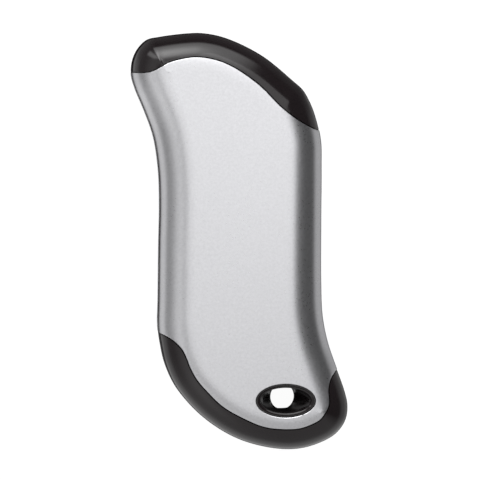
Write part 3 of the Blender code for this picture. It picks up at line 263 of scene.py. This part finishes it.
def bead_finish():
    finish = Finish("dipped_epoxy", (0.02, 0.02, 0.025), 0.25, coat_weight=0.4)
    flow = finish.noise(finish.place(), 700.0)
    finish.colour(finish.mix(flow, (0.012, 0.012, 0.016), (0.05, 0.05, 0.06)))
    finish.rough(flow * 0.2 + 0.15)
    return finish.bump(flow, 0.0001)


def plated_finish():
    """Bright plating over stamped or turned steel: fine lines and dull patches."""
    finish = Finish("bright_plated_steel", (0.60, 0.60, 0.62), 0.25, metallic=1.0)
    where = finish.place()
    stretched = finish.node("ShaderNodeMapping", {}, {"Vector": where, "Scale": (1200, 9000, 1200)})
    lines = finish.noise(stretched, 1.0)
    patches = finish.noise(where, 380.0, 4.0)
    finish.colour(finish.mix(patches, (0.46, 0.46, 0.48), (0.70, 0.70, 0.71)))
    finish.rough(patches * 0.22 + lines * 0.08 + 0.1)
    return finish.bump(lines, 0.000006)


PLATED = plated_finish()
dress(bead_finish(), "thermistor")
dress(PLATED, "thermal_fuse")


# Main board and its parts. Glass-epoxy with green solder mask over etched copper, and parts soldered by
# reflow. Chips are moulded epoxy, the inductor is pressed ferrite, the capacitors are fired ceramic.

BOARD_LEAN = math.radians(-18.55)
BOARD_MIDDLE = (-0.0015, 0.0552, 0.01275)


def board_finish():
    finish = Finish("solder_mask", (0.015, 0.13, 0.05), 0.35, coat_weight=0.3)
    where = finish.place(BOARD_MIDDLE, BOARD_LEAN)
    bricks = {"Vector": where, "Scale": 320.0, "Mortar Size": 0.16, "Brick Width": 1.6, "Row Height": 0.5}
    tracks = finish.node("ShaderNodeTexBrick", {}, bricks, "Fac")
    vias = finish.node("ShaderNodeTexVoronoi", {}, {"Vector": where, "Scale": 520.0}, 0) < 0.11
    glass = finish.noise(where, 4000.0)
    masked = finish.mix(tracks, (0.010, 0.085, 0.032), (0.025, 0.19, 0.075))
    finish.colour(finish.mix(vias, masked, (0.55, 0.40, 0.14)))
    finish.rough(glass * 0.18 + 0.26)
    return finish.bump(tracks + glass * 0.15, 0.00002)


def moulded_finish(name, dark, light, scale, roughness):
    """Dark moulding compound: a fine spark-eroded texture and lighter filler specks."""
    finish = Finish(name, dark, roughness)
    grain = finish.noise(finish.place(), scale, 3.0)
    filler = finish.node("ShaderNodeTexVoronoi", {}, {"Vector": finish.place(), "Scale": scale * 0.6}, 0)
    specks = filler < 0.09
    finish.colour(finish.mix(specks, finish.mix(grain, dark, light), (0.20, 0.20, 0.20)))
    finish.rough(grain * 0.2 + roughness - 0.1)
    return finish.bump(grain, 0.00002)


def ceramic_finish():
    """Tan fired ceramic with a fine grain."""
    finish = Finish("fired_ceramic", (0.42, 0.31, 0.20), 0.5)
    grain = finish.noise(finish.place(), 3000.0)
    finish.colour(finish.mix(grain, (0.33, 0.23, 0.14), (0.50, 0.39, 0.27)))
    finish.rough(grain * 0.25 + 0.35)
    return finish.bump(grain, 0.00002)


def lamp_finish():
    """A white moulded package, tinted here and there by its phosphor."""
    finish = Finish("lamp_package", (0.80, 0.80, 0.74), 0.35)
    haze = finish.noise(finish.place(), 1800.0)
    finish.colour(finish.mix(haze, (0.72, 0.70, 0.52), (0.86, 0.86, 0.82)))
    finish.rough(haze * 0.2 + 0.25)
    return finish.bump(haze, 0.00001)


dress(board_finish(), "main_board")
dress(moulded_finish("chip_compound", (0.015, 0.015, 0.016), (0.04, 0.04, 0.042), 5200.0, 0.5),
      "controller_chip", "charger_chip")
dress(moulded_finish("pressed_ferrite", (0.05, 0.05, 0.055), (0.12, 0.12, 0.13), 3600.0, 0.7), "inductor")
dress(ceramic_finish(), "capacitor_1", "capacitor_2")
dress(lamp_finish(), "charge_led_1", "charge_led_2", "charge_led_3", "charge_led_4")


# Sockets, switch and screws. Shells are folded from plated steel, and insulators are moulded black nylon.
# The screws are plated too, and so is the plunger of the switch.

INSULATOR = moulded_finish("moulded_nylon", (0.010, 0.010, 0.011), (0.030, 0.030, 0.031), 4200.0, 0.5)
dress(PLATED, "usb_a_shell", "micro_usb_shell", "switch_plunger", "screw_1", "screw_2", "screw_3", "screw_4")
dress(INSULATOR, "usb_a_insulator", "micro_usb_insulator", "switch_body")


# Cell leads. Stranded wire in extruded silicone, soldered to the cells' strips and to the board: red to
# the positive strip and black to the negative.


def lead_finish(name, dark, light):
    finish = Finish(name, dark, 0.45)
    flow = finish.noise(finish.place(CELL_MIDDLE, CELL_LEAN), 900.0, 3.0)
    finish.colour(finish.mix(flow, dark, light))
    finish.rough(flow * 0.25 + 0.32)
    return finish.bump(flow, 0.00003)


dress(lead_finish("red_silicone", (0.36, 0.012, 0.012), (0.50, 0.03, 0.03)), "cell_lead_positive")
dress(lead_finish("black_silicone", (0.012, 0.012, 0.013), (0.035, 0.035, 0.036)), "cell_lead_negative")


# Housing. Two glossy black mouldings that meet at mid thickness and show as the top end, the bottom
# bumper, the side band and the lanyard dish. Each half is drawn in where a skin lies on it. Outlines are
# given as shares of the body's width and length, from the lower left corner of its box.

WAIST_WIDTH = 0.0446
WAIST_SHARE = 0.748
BODY_WIDTH = WAIST_WIDTH / WAIST_SHARE
BODY_LENGTH = 0.115
HALF_THICKNESS = 0.01275
ROLL_RADIUS = 0.0082
ROLL_REACH = 0.0096
ROLL_FULLNESS = 0.89
BAND_HALF = HALF_THICKNESS - ROLL_RADIUS
ROLL_STEPS = 18
SKIN_PROUD = 0.0001
SEAM_GAP = 0.0003
SEAT_GAP = 0.0003
POCKET_FLOOR = 0.0012
INNER_OFFSET = 0.0026
OVERRUN = 0.004
OUTLINE_FINENESS = 10
EDGE_FINENESS = 6
OVAL_STEPS = 96
CORNER_WINDOW = 0.006
CORNER_SHARE = 0.86
CORNER_SOFTNESS = 6
CREASE = math.radians(20)
OUTLINE_SHARES = (
    (0.253, 0.999), (0.131, 0.991), (0.075, 0.984), (0.031, 0.962), (0.006, 0.933), (0.001, 0.901),
    (0.016, 0.870), (0.063, 0.811), (0.104, 0.750), (0.127, 0.670), (0.132, 0.589), (0.1285, 0.491),
    (0.1255, 0.361), (0.1235, 0.296), (0.135, 0.249), (0.158, 0.200), (0.213, 0.142), (0.331, 0.076),
    (0.490, 0.025), (0.671, 0.001), (0.796, 0.003), (0.913, 0.0255), (0.961, 0.0455), (0.992, 0.073),
    (1.000, 0.105), (0.988, 0.137), (0.947, 0.1975), (0.907, 0.2586), (0.883, 0.322), (0.8765, 0.400),
    (0.8765, 0.549), (0.878, 0.678), (0.875, 0.743), (0.847, 0.805), (0.824, 0.835), (0.793, 0.863),
    (0.747, 0.885), (0.602, 0.946), (0.435, 0.988), (0.330, 0.9995),
)
SKIN_TOP_SHARES = (
    (-0.200, 0.904), (0.002, 0.904), (0.045, 0.903), (0.076, 0.905), (0.104, 0.910), (0.136, 0.919),
    (0.168, 0.928), (0.228, 0.9365), (0.288, 0.9405), (0.344, 0.938), (0.399, 0.931), (0.445, 0.921),
    (0.491, 0.908), (0.584, 0.873), (0.676, 0.825), (0.722, 0.805), (0.769, 0.788), (0.813, 0.775),
    (0.861, 0.766), (1.200, 0.745),
)
SKIN_BOTTOM_SHARES = (
    (-0.200, 0.300), (0.108, 0.290), (0.128, 0.282), (0.154, 0.276), (0.183, 0.267), (0.207, 0.256),
    (0.226, 0.245), (0.238, 0.234), (0.249, 0.221), (0.263, 0.202), (0.295, 0.172), (0.343, 0.143),
    (0.399, 0.114), (0.445, 0.097), (0.491, 0.084), (0.538, 0.072), (0.584, 0.062), (0.630, 0.056),
    (0.677, 0.0535), (0.723, 0.053), (0.769, 0.055), (0.816, 0.063), (0.862, 0.076), (0.890, 0.096),
    (0.901, 0.108), (0.904, 0.120), (0.9005, 0.144), (0.904, 0.159), (0.914, 0.174), (0.928, 0.184),
    (0.945, 0.192), (1.200, 0.207),
)
DISH_CENTRE_SHARES = (0.7037, 0.1212)
THROAT_SHIFT = Vector((-0.0002, 0.0005))
DISH_LENGTH = 0.0159
DISH_WIDTH = 0.0087
DISH_WALL = 0.0014
LANYARD_HOLE = 0.0067
LANYARD_RISE = 0.0071
NECK_FOOT = 0.0108
LIP_LOW = 0.0013
LIP_HIGH = 0.00115
LIP_OUTSIDE = 0.0007
LIP_INSIDE = 0.0002


def smooth_points(points, closed, fineness):
    """Points along a smooth curve through the given ones, each span parted into equal steps."""
    count = len(points)
    spans = count if closed else count - 1
    found = []
    for span in range(spans):
        a, b, c, d = (points[(span + shift) % count] for shift in (-1, 0, 1, 2))
        if not closed and span == 0:
            a = 2 * b - c
        if not closed and span == spans - 1:
            d = 2 * c - b
        knots = [0.0]
        for p, q in ((a, b), (b, c), (c, d)):
            knots.append(knots[-1] + math.sqrt((q - p).length))

        def blend(p, q, low, high, t):
            return p.lerp(q, (t - low) / (high - low))

        for step in range(fineness):
            t = knots[1] + (knots[2] - knots[1]) * step / fineness
            first = blend(a, b, knots[0], knots[1], t)
            middle = blend(b, c, knots[1], knots[2], t)
            last = blend(c, d, knots[2], knots[3], t)
            left = blend(first, middle, knots[0], knots[2], t)
            right = blend(middle, last, knots[1], knots[3], t)
            found.append(blend(left, right, knots[1], knots[2], t))
    if not closed:
        found.append(points[-1].copy())
    return found


def body_place(shares):
    return Vector(((shares[0] - 0.5) * BODY_WIDTH, (shares[1] - 0.5) * BODY_LENGTH))


def fit_to_box(points):
    """Moves and stretches the closed curve so that it just fills the body's width and length."""
    low = Vector((min(p.x for p in points), min(p.y for p in points)))
    high = Vector((max(p.x for p in points), max(p.y for p in points)))
    size, middle = high - low, (low + high) / 2
    return [Vector(((p.x - middle.x) * BODY_WIDTH / size.x, (p.y - middle.y) * BODY_LENGTH / size.y))
            for p in points]


def rolling(points, window):
    """Each point's inward normal and its reach before a tight corner closes, evened over a window."""
    count = len(points)
    stations = [0.0]
    for here in range(count):
        stations.append(stations[-1] + (points[(here + 1) % count] - points[here]).length)

    def at(station):
        station %= stations[-1]
        here = bisect.bisect_right(stations, station) - 1
        share = (station - stations[here]) / (stations[here + 1] - stations[here])
        return points[here].lerp(points[(here + 1) % count], share)

    normals, reach = [], []
    for here in range(count):
        station = stations[here]
        along = at(station + window / 2) - at(station - window / 2)
        normals.append(Vector((-along.y, along.x)).normalized())
        turn = -(points[here] - at(station - window)).angle_signed(at(station + window) - points[here])
        reach.append(CORNER_SHARE * window / turn if turn > 0 else math.inf)
    return normals, reach


OUTLINE = fit_to_box(smooth_points([body_place(s) for s in OUTLINE_SHARES], True, OUTLINE_FINENESS))
NORMALS, REACH = rolling(OUTLINE, CORNER_WINDOW)


def inset(distance):
    """The outline moved inwards, by less where a corner is too tight for the whole distance."""
    ring = []
    for point, normal, reach in zip(OUTLINE, NORMALS, REACH):
        soft = (1 + (max(distance, 0) / reach) ** CORNER_SOFTNESS) ** (1 / CORNER_SOFTNESS)
        ring.append(point + normal * distance / soft)
    return ring


def at_height(points, z):
    return [Vector((p.x, p.y, z)) for p in points]


def drawn(rings):
    """A closed solid: one outline is extruded from ring to ring, and both ends are filled."""
    bm = bmesh.new()
    station = bm.verts.layers.int.new("station")
    corners = [bm.verts.new(point) for point in rings[0]]
    for number, corner in enumerate(corners):
        corner[station] = number
    edges = [bm.edges.new((corners[number - 1], corners[number])) for number in range(len(corners))]
    first = edges
    for ring in rings[1:]:
        grown = bmesh.ops.extrude_edge_only(bm, edges=edges)["geom"]
        edges = [e for e in grown if isinstance(e, bmesh.types.BMEdge)]
        for corner in (v for v in grown if isinstance(v, bmesh.types.BMVert)):
            corner.co = ring[corner[station]]
    bmesh.ops.edgeloop_fill(bm, edges=first)
    bmesh.ops.edgeloop_fill(bm, edges=edges)
    bmesh.ops.recalc_face_normals(bm, faces=bm.faces)
    return bm


def roll_rings(offset, side, start, margin=0.0):
    """Rings of the rolled side, from a start height off mid thickness to the flat, or a margin into it."""
    rise, reach = ROLL_RADIUS - offset, ROLL_REACH - offset
    rings = [at_height(inset(offset), HALF_THICKNESS + side * start)]
    for step in range(ROLL_STEPS + 1):
        turn = math.pi / 2 * step / ROLL_STEPS
        ring = inset(offset + reach * (1 - math.cos(turn) ** ROLL_FULLNESS))
        height = BAND_HALF + rise * math.sin(turn) ** ROLL_FULLNESS
        rings.append(at_height(ring, HALF_THICKNESS + side * height))
    if margin:
        height = BAND_HALF + rise
        rings.append(at_height(inset(offset + reach + margin), HALF_THICKNESS + side * height))
    return rings


def half_body(offset, side, start):
    return drawn(roll_rings(offset, side, start))


def region(grow, low, high):
    """The plan area that a skin covers, grown by a gap and drawn up between two heights."""
    bottom = smooth_points([body_place(s) for s in SKIN_BOTTOM_SHARES], False, EDGE_FINENESS)
    top = smooth_points([body_place(s) for s in SKIN_TOP_SHARES], False, EDGE_FINENESS)
    points = bottom + top[::-1]
    grown = []
    for here in range(len(points)):
        along = points[(here + 1) % len(points)] - points[here - 1]
        grown.append(points[here] + Vector((along.y, -along.x)).normalized() * grow)
    return drawn([at_height(grown, low), at_height(grown, high)])


DISH_CENTRE = body_place(DISH_CENTRE_SHARES)
THROAT_CENTRE = DISH_CENTRE + THROAT_SHIFT


def oval(length, width, z, slide=0.0):
    """An oval about the dish's centre, or slid some of the way to the throat's."""
    centre = DISH_CENTRE.lerp(THROAT_CENTRE, slide)
    points = []
    for step in range(OVAL_STEPS):
        turn = 2 * math.pi * step / OVAL_STEPS
        x, y = length / 2 * math.cos(turn), width / 2 * math.sin(turn)
        points.append(Vector((centre.x + x, centre.y + y, z)))
    return points


def as_object(name, bm):
    mesh = bpy.data.meshes.new(name)
    bm.to_mesh(mesh)
    bm.free()
    made = bpy.data.objects.new(name, mesh)
    bpy.context.scene.collection.objects.link(made)
    return made


def carved(bm, *steps):
    """Cuts a solid with others, or joins them to it; each step is an operation and a bmesh."""
    body = as_object("carved", bm)
    used = [body]
    for operation, other in steps:
        cutter = as_object("cutter", other)
        step = body.modifiers.new("step", "BOOLEAN")
        step.operation = operation
        step.object = cutter
        used.append(cutter)
    graph = bpy.context.evaluated_depsgraph_get()
    result = bmesh.new()
    result.from_object(body, graph)
    for made in used:
        mesh = made.data
        bpy.data.objects.remove(made)
        bpy.data.meshes.remove(mesh)
    return result


def finished(name, bm, finish):
    """Makes the piece's object at the origin, smooth between its creases, riding on the body."""
    bmesh.ops.triangulate(bm, faces=[face for face in bm.faces if len(face.verts) > 4])
    piece = as_object(name, bm)
    piece.data.shade_smooth()
    piece.data.set_sharp_from_angle(angle=CREASE)
    piece.data.materials.append(finish.material)
    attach(piece, "body")
    return piece


def slab(points, low, high):
    return drawn([at_height(points, low), at_height(points, high)])


def funnel(side):
    """The dish's space on one side: a chamfer, a narrow land, a well from oval to round, and the throat."""
    top = HALF_THICKNESS - SKIN_PROUD
    # Each station is a length, a width, a height off mid thickness, and how far it is slid to the throat.
    stations = (
        (0.0234, 0.0162, top + OVERRUN, 0.0), (0.0156, 0.0084, top, 0.0), (0.0154, 0.0082, top - 0.0001, 0.0),
        (0.0146, 0.0074, top - 0.0005, 0.0), (0.0143, 0.0071, top - 0.00058, 0.0),
        (0.0141, 0.0070, top - 0.0008, 0.03), (0.0137, 0.0069, top - 0.0022, 0.12),
        (0.0118, 0.0070, top - 0.0054, 0.42), (0.0088, LANYARD_RISE, top - 0.0086, 0.8),
        (LANYARD_HOLE, LANYARD_RISE, top - 0.0110, 1.0), (LANYARD_HOLE, LANYARD_RISE, -SEAM_GAP, 1.0),
    )
    return drawn([oval(a, b, HALF_THICKNESS + side * z, slide) for a, b, z, slide in stations])


BUTTON_MIDDLE = (0.012251, 0.046428, HALF_THICKNESS)
BUTTON_OUTWARD = (0.654637, 0.755944)
BUTTON_LEAN = math.atan2(BUTTON_OUTWARD[1], BUTTON_OUTWARD[0]) - math.pi / 2
BORE_LENGTH = 0.0084
BORE_WIDTH = 0.0052
CUT_BACK = -0.010
USB_SPAN = (-0.0134, 0.0003)
USB_HEIGHTS = (-0.00315, 0.00315)
MICRO_SPAN = (0.0013, 0.0095)
MICRO_HEIGHTS = (-0.0020, 0.0014)
MOUTH_CORNER = 0.0007
WINDOW_COUNT = 4
WINDOW_PITCH = 0.002
WINDOWS_ALONG = 0.0054
WINDOW_HALF = 0.0007
WINDOW_HEIGHTS = (0.0023, 0.0037)
WINDOW_CORNER = 0.0003
ROUND_SHARE = 0.4995


def moved(bm, middle, lean):
    """Puts a solid that was made about the origin at its place on the end of the body."""
    bm.transform(Matrix.Translation(middle) @ Matrix.Rotation(lean, 4, "Z"))
    return bm


def brick(low, high, corner=0.0):
    """A box between two corners, its edges along Y rounded if a corner radius is given."""
    bm = bmesh.new()
    bmesh.ops.create_cube(bm, size=1.0)
    size = [b - a for a, b in zip(low, high)]
    bmesh.ops.scale(bm, vec=size, verts=bm.verts)
    bmesh.ops.translate(bm, vec=[(a + b) / 2 for a, b in zip(low, high)], verts=bm.verts)
    if corner:
        edges = [e for e in bm.edges if abs((e.verts[0].co - e.verts[1].co).y) > size[1] / 2]
        bmesh.ops.bevel(bm, geom=edges, offset=corner, segments=5, affect="EDGES", profile=0.5, material=-1)
    return bm


def pill(length, width, low, high):
    """A slab with round ends, long in X and wide in Z, from one station on Y to another."""
    bm = brick((-length / 2, low, -width / 2), (length / 2, high, width / 2))
    edges = [e for e in bm.edges if abs((e.verts[0].co - e.verts[1].co).y) > abs(high - low) / 2]
    corner = width * ROUND_SHARE
    bmesh.ops.bevel(bm, geom=edges, offset=corner, segments=14, affect="EDGES", profile=0.5, material=-1)
    return bm


def end_slot(span, heights, corner):
    """A rounded box through the end wall, between two places along it and two heights."""
    bm = brick((span[0], CUT_BACK, heights[0]), (span[1], OVERRUN, heights[1]), corner)
    return moved(bm, BOARD_MIDDLE, BOARD_LEAN)


def end_openings(side):
    """What is cut through the end wall: two socket mouths, the button's bore, and four light windows."""
    cuts = [end_slot(USB_SPAN, USB_HEIGHTS, MOUTH_CORNER), end_slot(MICRO_SPAN, MICRO_HEIGHTS, MOUTH_CORNER)]
    cuts.append(moved(pill(BORE_LENGTH, BORE_WIDTH, CUT_BACK, OVERRUN), BUTTON_MIDDLE, BUTTON_LEAN))
    if side > 0:
        for number in range(WINDOW_COUNT):
            along = WINDOWS_ALONG + WINDOW_PITCH * (number - (WINDOW_COUNT - 1) / 2)
            cuts.append(end_slot((along - WINDOW_HALF, along + WINDOW_HALF), WINDOW_HEIGHTS, WINDOW_CORNER))
    return [("DIFFERENCE", cut) for cut in cuts]


def gloss_finish():
    """Polished black moulding: high gloss, a faint flow ripple, and hairline scuffs from handling."""
    finish = Finish("gloss_black_moulding", (0.011, 0.008, 0.009), 0.12)
    where = finish.place()
    ripple = finish.noise(where, 90.0, 2.0)
    stretched = finish.node("ShaderNodeMapping", {}, {"Vector": where, "Scale": (9000, 700, 5000)})
    scuffs = finish.noise(stretched, 1.0, 4.0)
    hairs = finish.ramp(scuffs, (0.62, 0.0), (0.70, 1.0))
    finish.colour(finish.mix(ripple, (0.009, 0.0065, 0.0072), (0.013, 0.0095, 0.0105)))
    finish.rough(ripple * 0.08 + hairs * 0.10 + 0.09)
    return finish.bump(ripple + hairs * 0.02, 0.00002)


GLOSS = gloss_finish()


def reach_out(side, low):
    """Two heights: one a given way off mid thickness on a side, and one past the flat there."""
    return sorted((HALF_THICKNESS + side * low, HALF_THICKNESS + side * (HALF_THICKNESS + OVERRUN)))


def housing_half(side):
    """One half: hollow, with pockets for the skin, a neck round the dish, and the openings of the end."""
    seam = SEAM_GAP / 2
    solid = half_body(SKIN_PROUD, side, seam)
    low, high = reach_out(side, BAND_HALF - SEAT_GAP)
    pocket = carved(region(SEAT_GAP, low, high), ("DIFFERENCE", half_body(POCKET_FLOOR, side, -OVERRUN)))
    neck_top = HALF_THICKNESS + side * (HALF_THICKNESS - SKIN_PROUD)
    neck_foot = HALF_THICKNESS + side * NECK_FOOT
    foot = HALF_THICKNESS + side * seam
    wall = 2 * DISH_WALL
    tower = drawn([oval(DISH_LENGTH + wall, DISH_WIDTH + wall, z) for z in (foot, neck_foot)])
    cavity = carved(half_body(INNER_OFFSET, side, -OVERRUN), ("DIFFERENCE", tower))
    neck = drawn([oval(DISH_LENGTH, DISH_WIDTH, z) for z in (neck_foot, neck_top)])
    steps = [("DIFFERENCE", pocket), ("DIFFERENCE", cavity), ("UNION", neck), ("DIFFERENCE", funnel(side))]
    if side < 0:
        lip_low, lip_high = HALF_THICKNESS - LIP_LOW, HALF_THICKNESS + LIP_HIGH
        inside = slab(inset(INNER_OFFSET + LIP_INSIDE), lip_low - OVERRUN, lip_high + OVERRUN)
        lip = carved(slab(inset(INNER_OFFSET - LIP_OUTSIDE), lip_low, lip_high), ("DIFFERENCE", inside))
        steps.insert(2, ("UNION", lip))
    return carved(solid, *steps, *end_openings(side))


rear_housing = finished("rear_housing", housing_half(1), GLOSS)
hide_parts("frame_rear")
front_housing = finished("front_housing", housing_half(-1), GLOSS)
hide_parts("frame_front")


# Skins. Each is pressed from aluminium sheet with rolled edges, trimmed, bead-blasted and anodised, and
# glued into the housing. Its cut edges are broken by a small round, which catches the light.

SKIN_WALL = 0.0009
EDGE_BREAK = 0.00013
FLAT_MARGIN = 0.0005
TIGHT_CORNER = Vector((-0.0213, 0.0475))
TIGHT_REACH = 0.0042
EASE_TURNS = 12
SHARP = math.radians(50)
EDGE_ON = 0.05
SHORTEST_EDGE = 0.00003
HOLE_ROOM = 0.0006
SKIRT = 0.001


def blasted_finish():
    """Bead-blasted anodised aluminium: fine pits under an even satin sheen."""
    finish = Finish("blasted_aluminium", (0.66, 0.66, 0.68), 0.36, metallic=1.0)
    where = finish.place()
    pits = finish.noise(where, 1300.0, 3.0, 0.75)
    cloud = finish.noise(where, 60.0, 3.0)
    finish.colour(finish.mix(pits, (0.56, 0.56, 0.577), (0.78, 0.78, 0.803)))
    finish.rough(pits * 0.08 + cloud * 0.04 + 0.23)
    return finish.bump(pits, 0.000003)


ALUMINIUM = blasted_finish()


def trimmed_edges(bm, side):
    """The sharp edges where the outer face meets a cut."""
    bm.normal_update()
    found = []
    for edge in bm.edges:
        if len(edge.link_faces) == 2 and edge.calc_face_angle() > SHARP:
            outward = [side * face.normal.z for face in edge.link_faces]
            if min(outward) > -EDGE_ON and max(outward) > EDGE_ON:
                found.append(edge)
    return found


def break_edges(bm, side, width):
    """A small rounded break along the trimmed edges, once what is too short there is merged."""
    bmesh.ops.triangulate(bm, faces=[face for face in bm.faces if len(face.verts) > 4])
    corners = {corner for edge in trimmed_edges(bm, side) for corner in edge.verts}
    bmesh.ops.remove_doubles(bm, verts=list(corners), dist=SHORTEST_EDGE)
    edges = trimmed_edges(bm, side)
    bmesh.ops.bevel(bm, geom=edges, offset=width, segments=2, profile=0.5, affect="EDGES", material=-1)
    return bm


def eased(bm):
    """Evens the heights where the rolled rings crowd at the tight top corner; sharp edges stay put."""
    near = [v for v in bm.verts if (v.co.xy - TIGHT_CORNER).length < TIGHT_REACH
            and all(e.calc_face_angle(0.0) < SHARP for e in v.link_edges)]
    for turn in range(EASE_TURNS):
        bmesh.ops.smooth_vert(bm, verts=near, factor=0.5, use_axis_z=True)
    return bm


def skin(side):
    """A cup with rolled sides, trimmed to the skin's plan and pierced for the dish."""
    start = BAND_HALF - SKIRT
    cup = drawn(roll_rings(0, side, start, FLAT_MARGIN)[::-1] + roll_rings(SKIN_WALL, side, start))
    above = half_body(-OVERRUN, side, BAND_HALF)
    ends = reach_out(side, BAND_HALF - OVERRUN)
    hole = drawn([oval(DISH_LENGTH + HOLE_ROOM, DISH_WIDTH + HOLE_ROOM, z) for z in ends])
    plan = region(0, -OVERRUN, 2 * HALF_THICKNESS + OVERRUN)
    trimmed = carved(cup, ("INTERSECT", plan), ("INTERSECT", above), ("DIFFERENCE", hole))
    return break_edges(eased(trimmed), side, EDGE_BREAK)


rear_cover = finished("rear_cover", skin(1), ALUMINIUM)
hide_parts("rear_skin")
front_cover = finished("front_cover", skin(-1), ALUMINIUM)
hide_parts("front_skin")


# Power button and light pipe. The button is a satin black cap, flush with the end wall, on a flange and
# a stem. The pipe is one frosted moulding whose four pegs fill the windows over the lights.


def satin_finish():
    finish = Finish("satin_black_moulding", (0.02, 0.02, 0.021), 0.35)
    grain = finish.noise(finish.place(), 6000.0, 3.0)
    finish.colour(finish.mix(grain, (0.014, 0.014, 0.015), (0.032, 0.032, 0.034)))
    finish.rough(grain * 0.2 + 0.26)
    return finish.bump(grain, 0.000015)


def clear_finish():
    finish = Finish("frosted_light_guide", (0.62, 0.65, 0.68), 0.3)
    frost = finish.noise(finish.place(), 3200.0)
    finish.colour(finish.mix(frost, (0.50, 0.53, 0.56), (0.74, 0.76, 0.78)))
    finish.rough(frost * 0.2 + 0.2)
    return finish.bump(frost, 0.00001)


dress(satin_finish(), "power_button")
dress(clear_finish(), "light_pipe")


# Table, lights and camera. The object lies on a pale light table in a soft studio whose main light is
# beyond the top end, with two softboxes overhead. The camera looks almost straight down on the rear skin.

TABLE_HALF = 1.6
TABLE_DROP = 0.0002
CORE_RISE = 45
CORE_BEARING = -12
CORE_SPREAD = (11, 15)
CORE_LEVEL = 4.5
SCREEN_LEVEL = 2.1
STRIP_LEVEL = 2.0
GLOW_LEVEL = 0.6
FRONT_LEVEL = 0.50
LEFT_LEVEL = 0.33
RIGHT_LEVEL = 0.07
EVEN_LEVEL = 0.02
LOW_LEVEL = 0.42
FAR_SHADE = 0.8
FLOOR_SHADE = 0.85
SOFTBOX_TURN = math.radians(-31)
SOFTBOX_WIDTH = 0.305
CAMERA_LEAN = (math.radians(3.5), math.radians(1.8))
CAMERA_TARGET = Vector((0.00029, 0.00023, HALF_THICKNESS))
CAMERA_DISTANCE = 1.5
CAMERA_LENS = 407.0
CAMERA_SENSOR = 36.0


def table_finish():
    shine = {"emission_color": (1.0, 1.0, 1.0, 1.0), "emission_strength": 0.96}
    finish = Finish("light_table", (0.1, 0.1, 0.1), 0.6, **shine)
    grain = finish.noise(finish.place(), 40.0)
    finish.colour(finish.mix(grain, (0.09, 0.09, 0.09), (0.11, 0.11, 0.11)))
    return finish


def make_table():
    bm = bmesh.new()
    bmesh.ops.create_grid(bm, x_segments=4, y_segments=4, size=TABLE_HALF)
    bmesh.ops.translate(bm, vec=(0, 0, -TABLE_DROP), verts=bm.verts)
    table = as_object("light_table", bm)
    table.data.materials.append(table_finish().material)
    table.visible_glossy = False


def band(value, low, full, last, gone):
    """1 between two values, with a soft edge outside each of them."""
    return value.rising(low, full) * (1.0 - value.rising(last, gone))


def make_studio():
    """The room: a tall soft light beyond the top end, pale cards low down, and a dark right side.
    Rise and bearing are in degrees; a bearing of 0 lies beyond the top end, and 90 to the right."""
    world = bpy.data.worlds.new("studio")
    world.use_nodes = True
    bpy.context.scene.world = world
    room = Recipe(world.node_tree)
    across, along, up = room.axes(room.node("ShaderNodeTexCoord", {}, {}, "Generated"))
    rise = room.node("ShaderNodeMath", {"operation": "ARCSINE"}, {0: up}) * math.degrees(1)
    bearing = room.node("ShaderNodeMath", {"operation": "ARCTAN2"}, {0: across, 1: along}) * math.degrees(1)
    rise_off = (rise - CORE_RISE) / CORE_SPREAD[0]
    bearing_off = (bearing - CORE_BEARING) / CORE_SPREAD[1]
    spread = (rise_off * rise_off + bearing_off * bearing_off) * -0.5
    core = room.node("ShaderNodeMath", {"operation": "EXPONENT"}, {0: spread}) * CORE_LEVEL
    screen = band(bearing, -34, -24, 27, 39) * band(rise, 7, 19, 54, 68) * SCREEN_LEVEL
    strip = band(bearing, -58, -52, -48, -42) * band(rise, 8, 18, 48, 60) * STRIP_LEVEL
    front = abs(bearing).rising(105, 140) * (1.0 - rise.rising(70, 87)) * FRONT_LEVEL
    glow = up.rising(0.25, 0.95) * (-across).rising(0.25, 0.5) * GLOW_LEVEL
    sides = (-across).above_zero() * LEFT_LEVEL + across.above_zero() * RIGHT_LEVEL + EVEN_LEVEL
    straight_down = (-up).rising(0.84, 0.95)
    shade = 1.0 - along.rising(0.15, 0.45) * FAR_SHADE
    low = (across * 0.1 - up).rising(-0.1, 0.3) * (1.0 - straight_down) * shade * LOW_LEVEL
    light = core + screen + strip + front + glow + sides + low
    background = world.node_tree.nodes["Background"]
    background.inputs["Color"].default_value = (1.0, 1.0, 1.0, 1.0)
    room.fill(background.inputs["Strength"], light * (1.0 - straight_down * FLOOR_SHADE))


def make_softbox(name, place, length, power):
    """A rectangular lamp that faces straight down, turned about the vertical."""
    lamp = bpy.data.lights.new(name, "AREA")
    lamp.shape = "RECTANGLE"
    lamp.size = SOFTBOX_WIDTH
    lamp.size_y = length
    lamp.energy = power
    made = bpy.data.objects.new(name, lamp)
    bpy.context.scene.collection.objects.link(made)
    made.location = place
    made.rotation_euler.z = SOFTBOX_TURN


def make_camera():
    toward = Vector((-math.sin(CAMERA_LEAN[0]), math.sin(CAMERA_LEAN[1]), 0))
    toward.z = math.sqrt(1 - toward.length_squared)
    right = Vector((0, 1, 0)).cross(toward).normalized()
    up = toward.cross(right)
    lens = bpy.data.cameras.new("camera")
    lens.lens = CAMERA_LENS
    lens.sensor_width = CAMERA_SENSOR
    made = bpy.data.objects.new("camera", lens)
    bpy.context.scene.collection.objects.link(made)
    turn = Matrix((right, up, toward)).transposed().to_4x4()
    made.matrix_world = Matrix.Translation(CAMERA_TARGET + toward * CAMERA_DISTANCE) @ turn
    bpy.context.scene.camera = made


make_table()
make_studio()
make_softbox("overhead_softbox", (0.0795, 0.1497, 0.55), 0.60, 0.524)
make_softbox("upper_softbox", (0.1176, 0.2131, 0.56), 0.45, 0.157)
bpy.context.scene.view_settings.view_transform = "Standard"
make_camera()
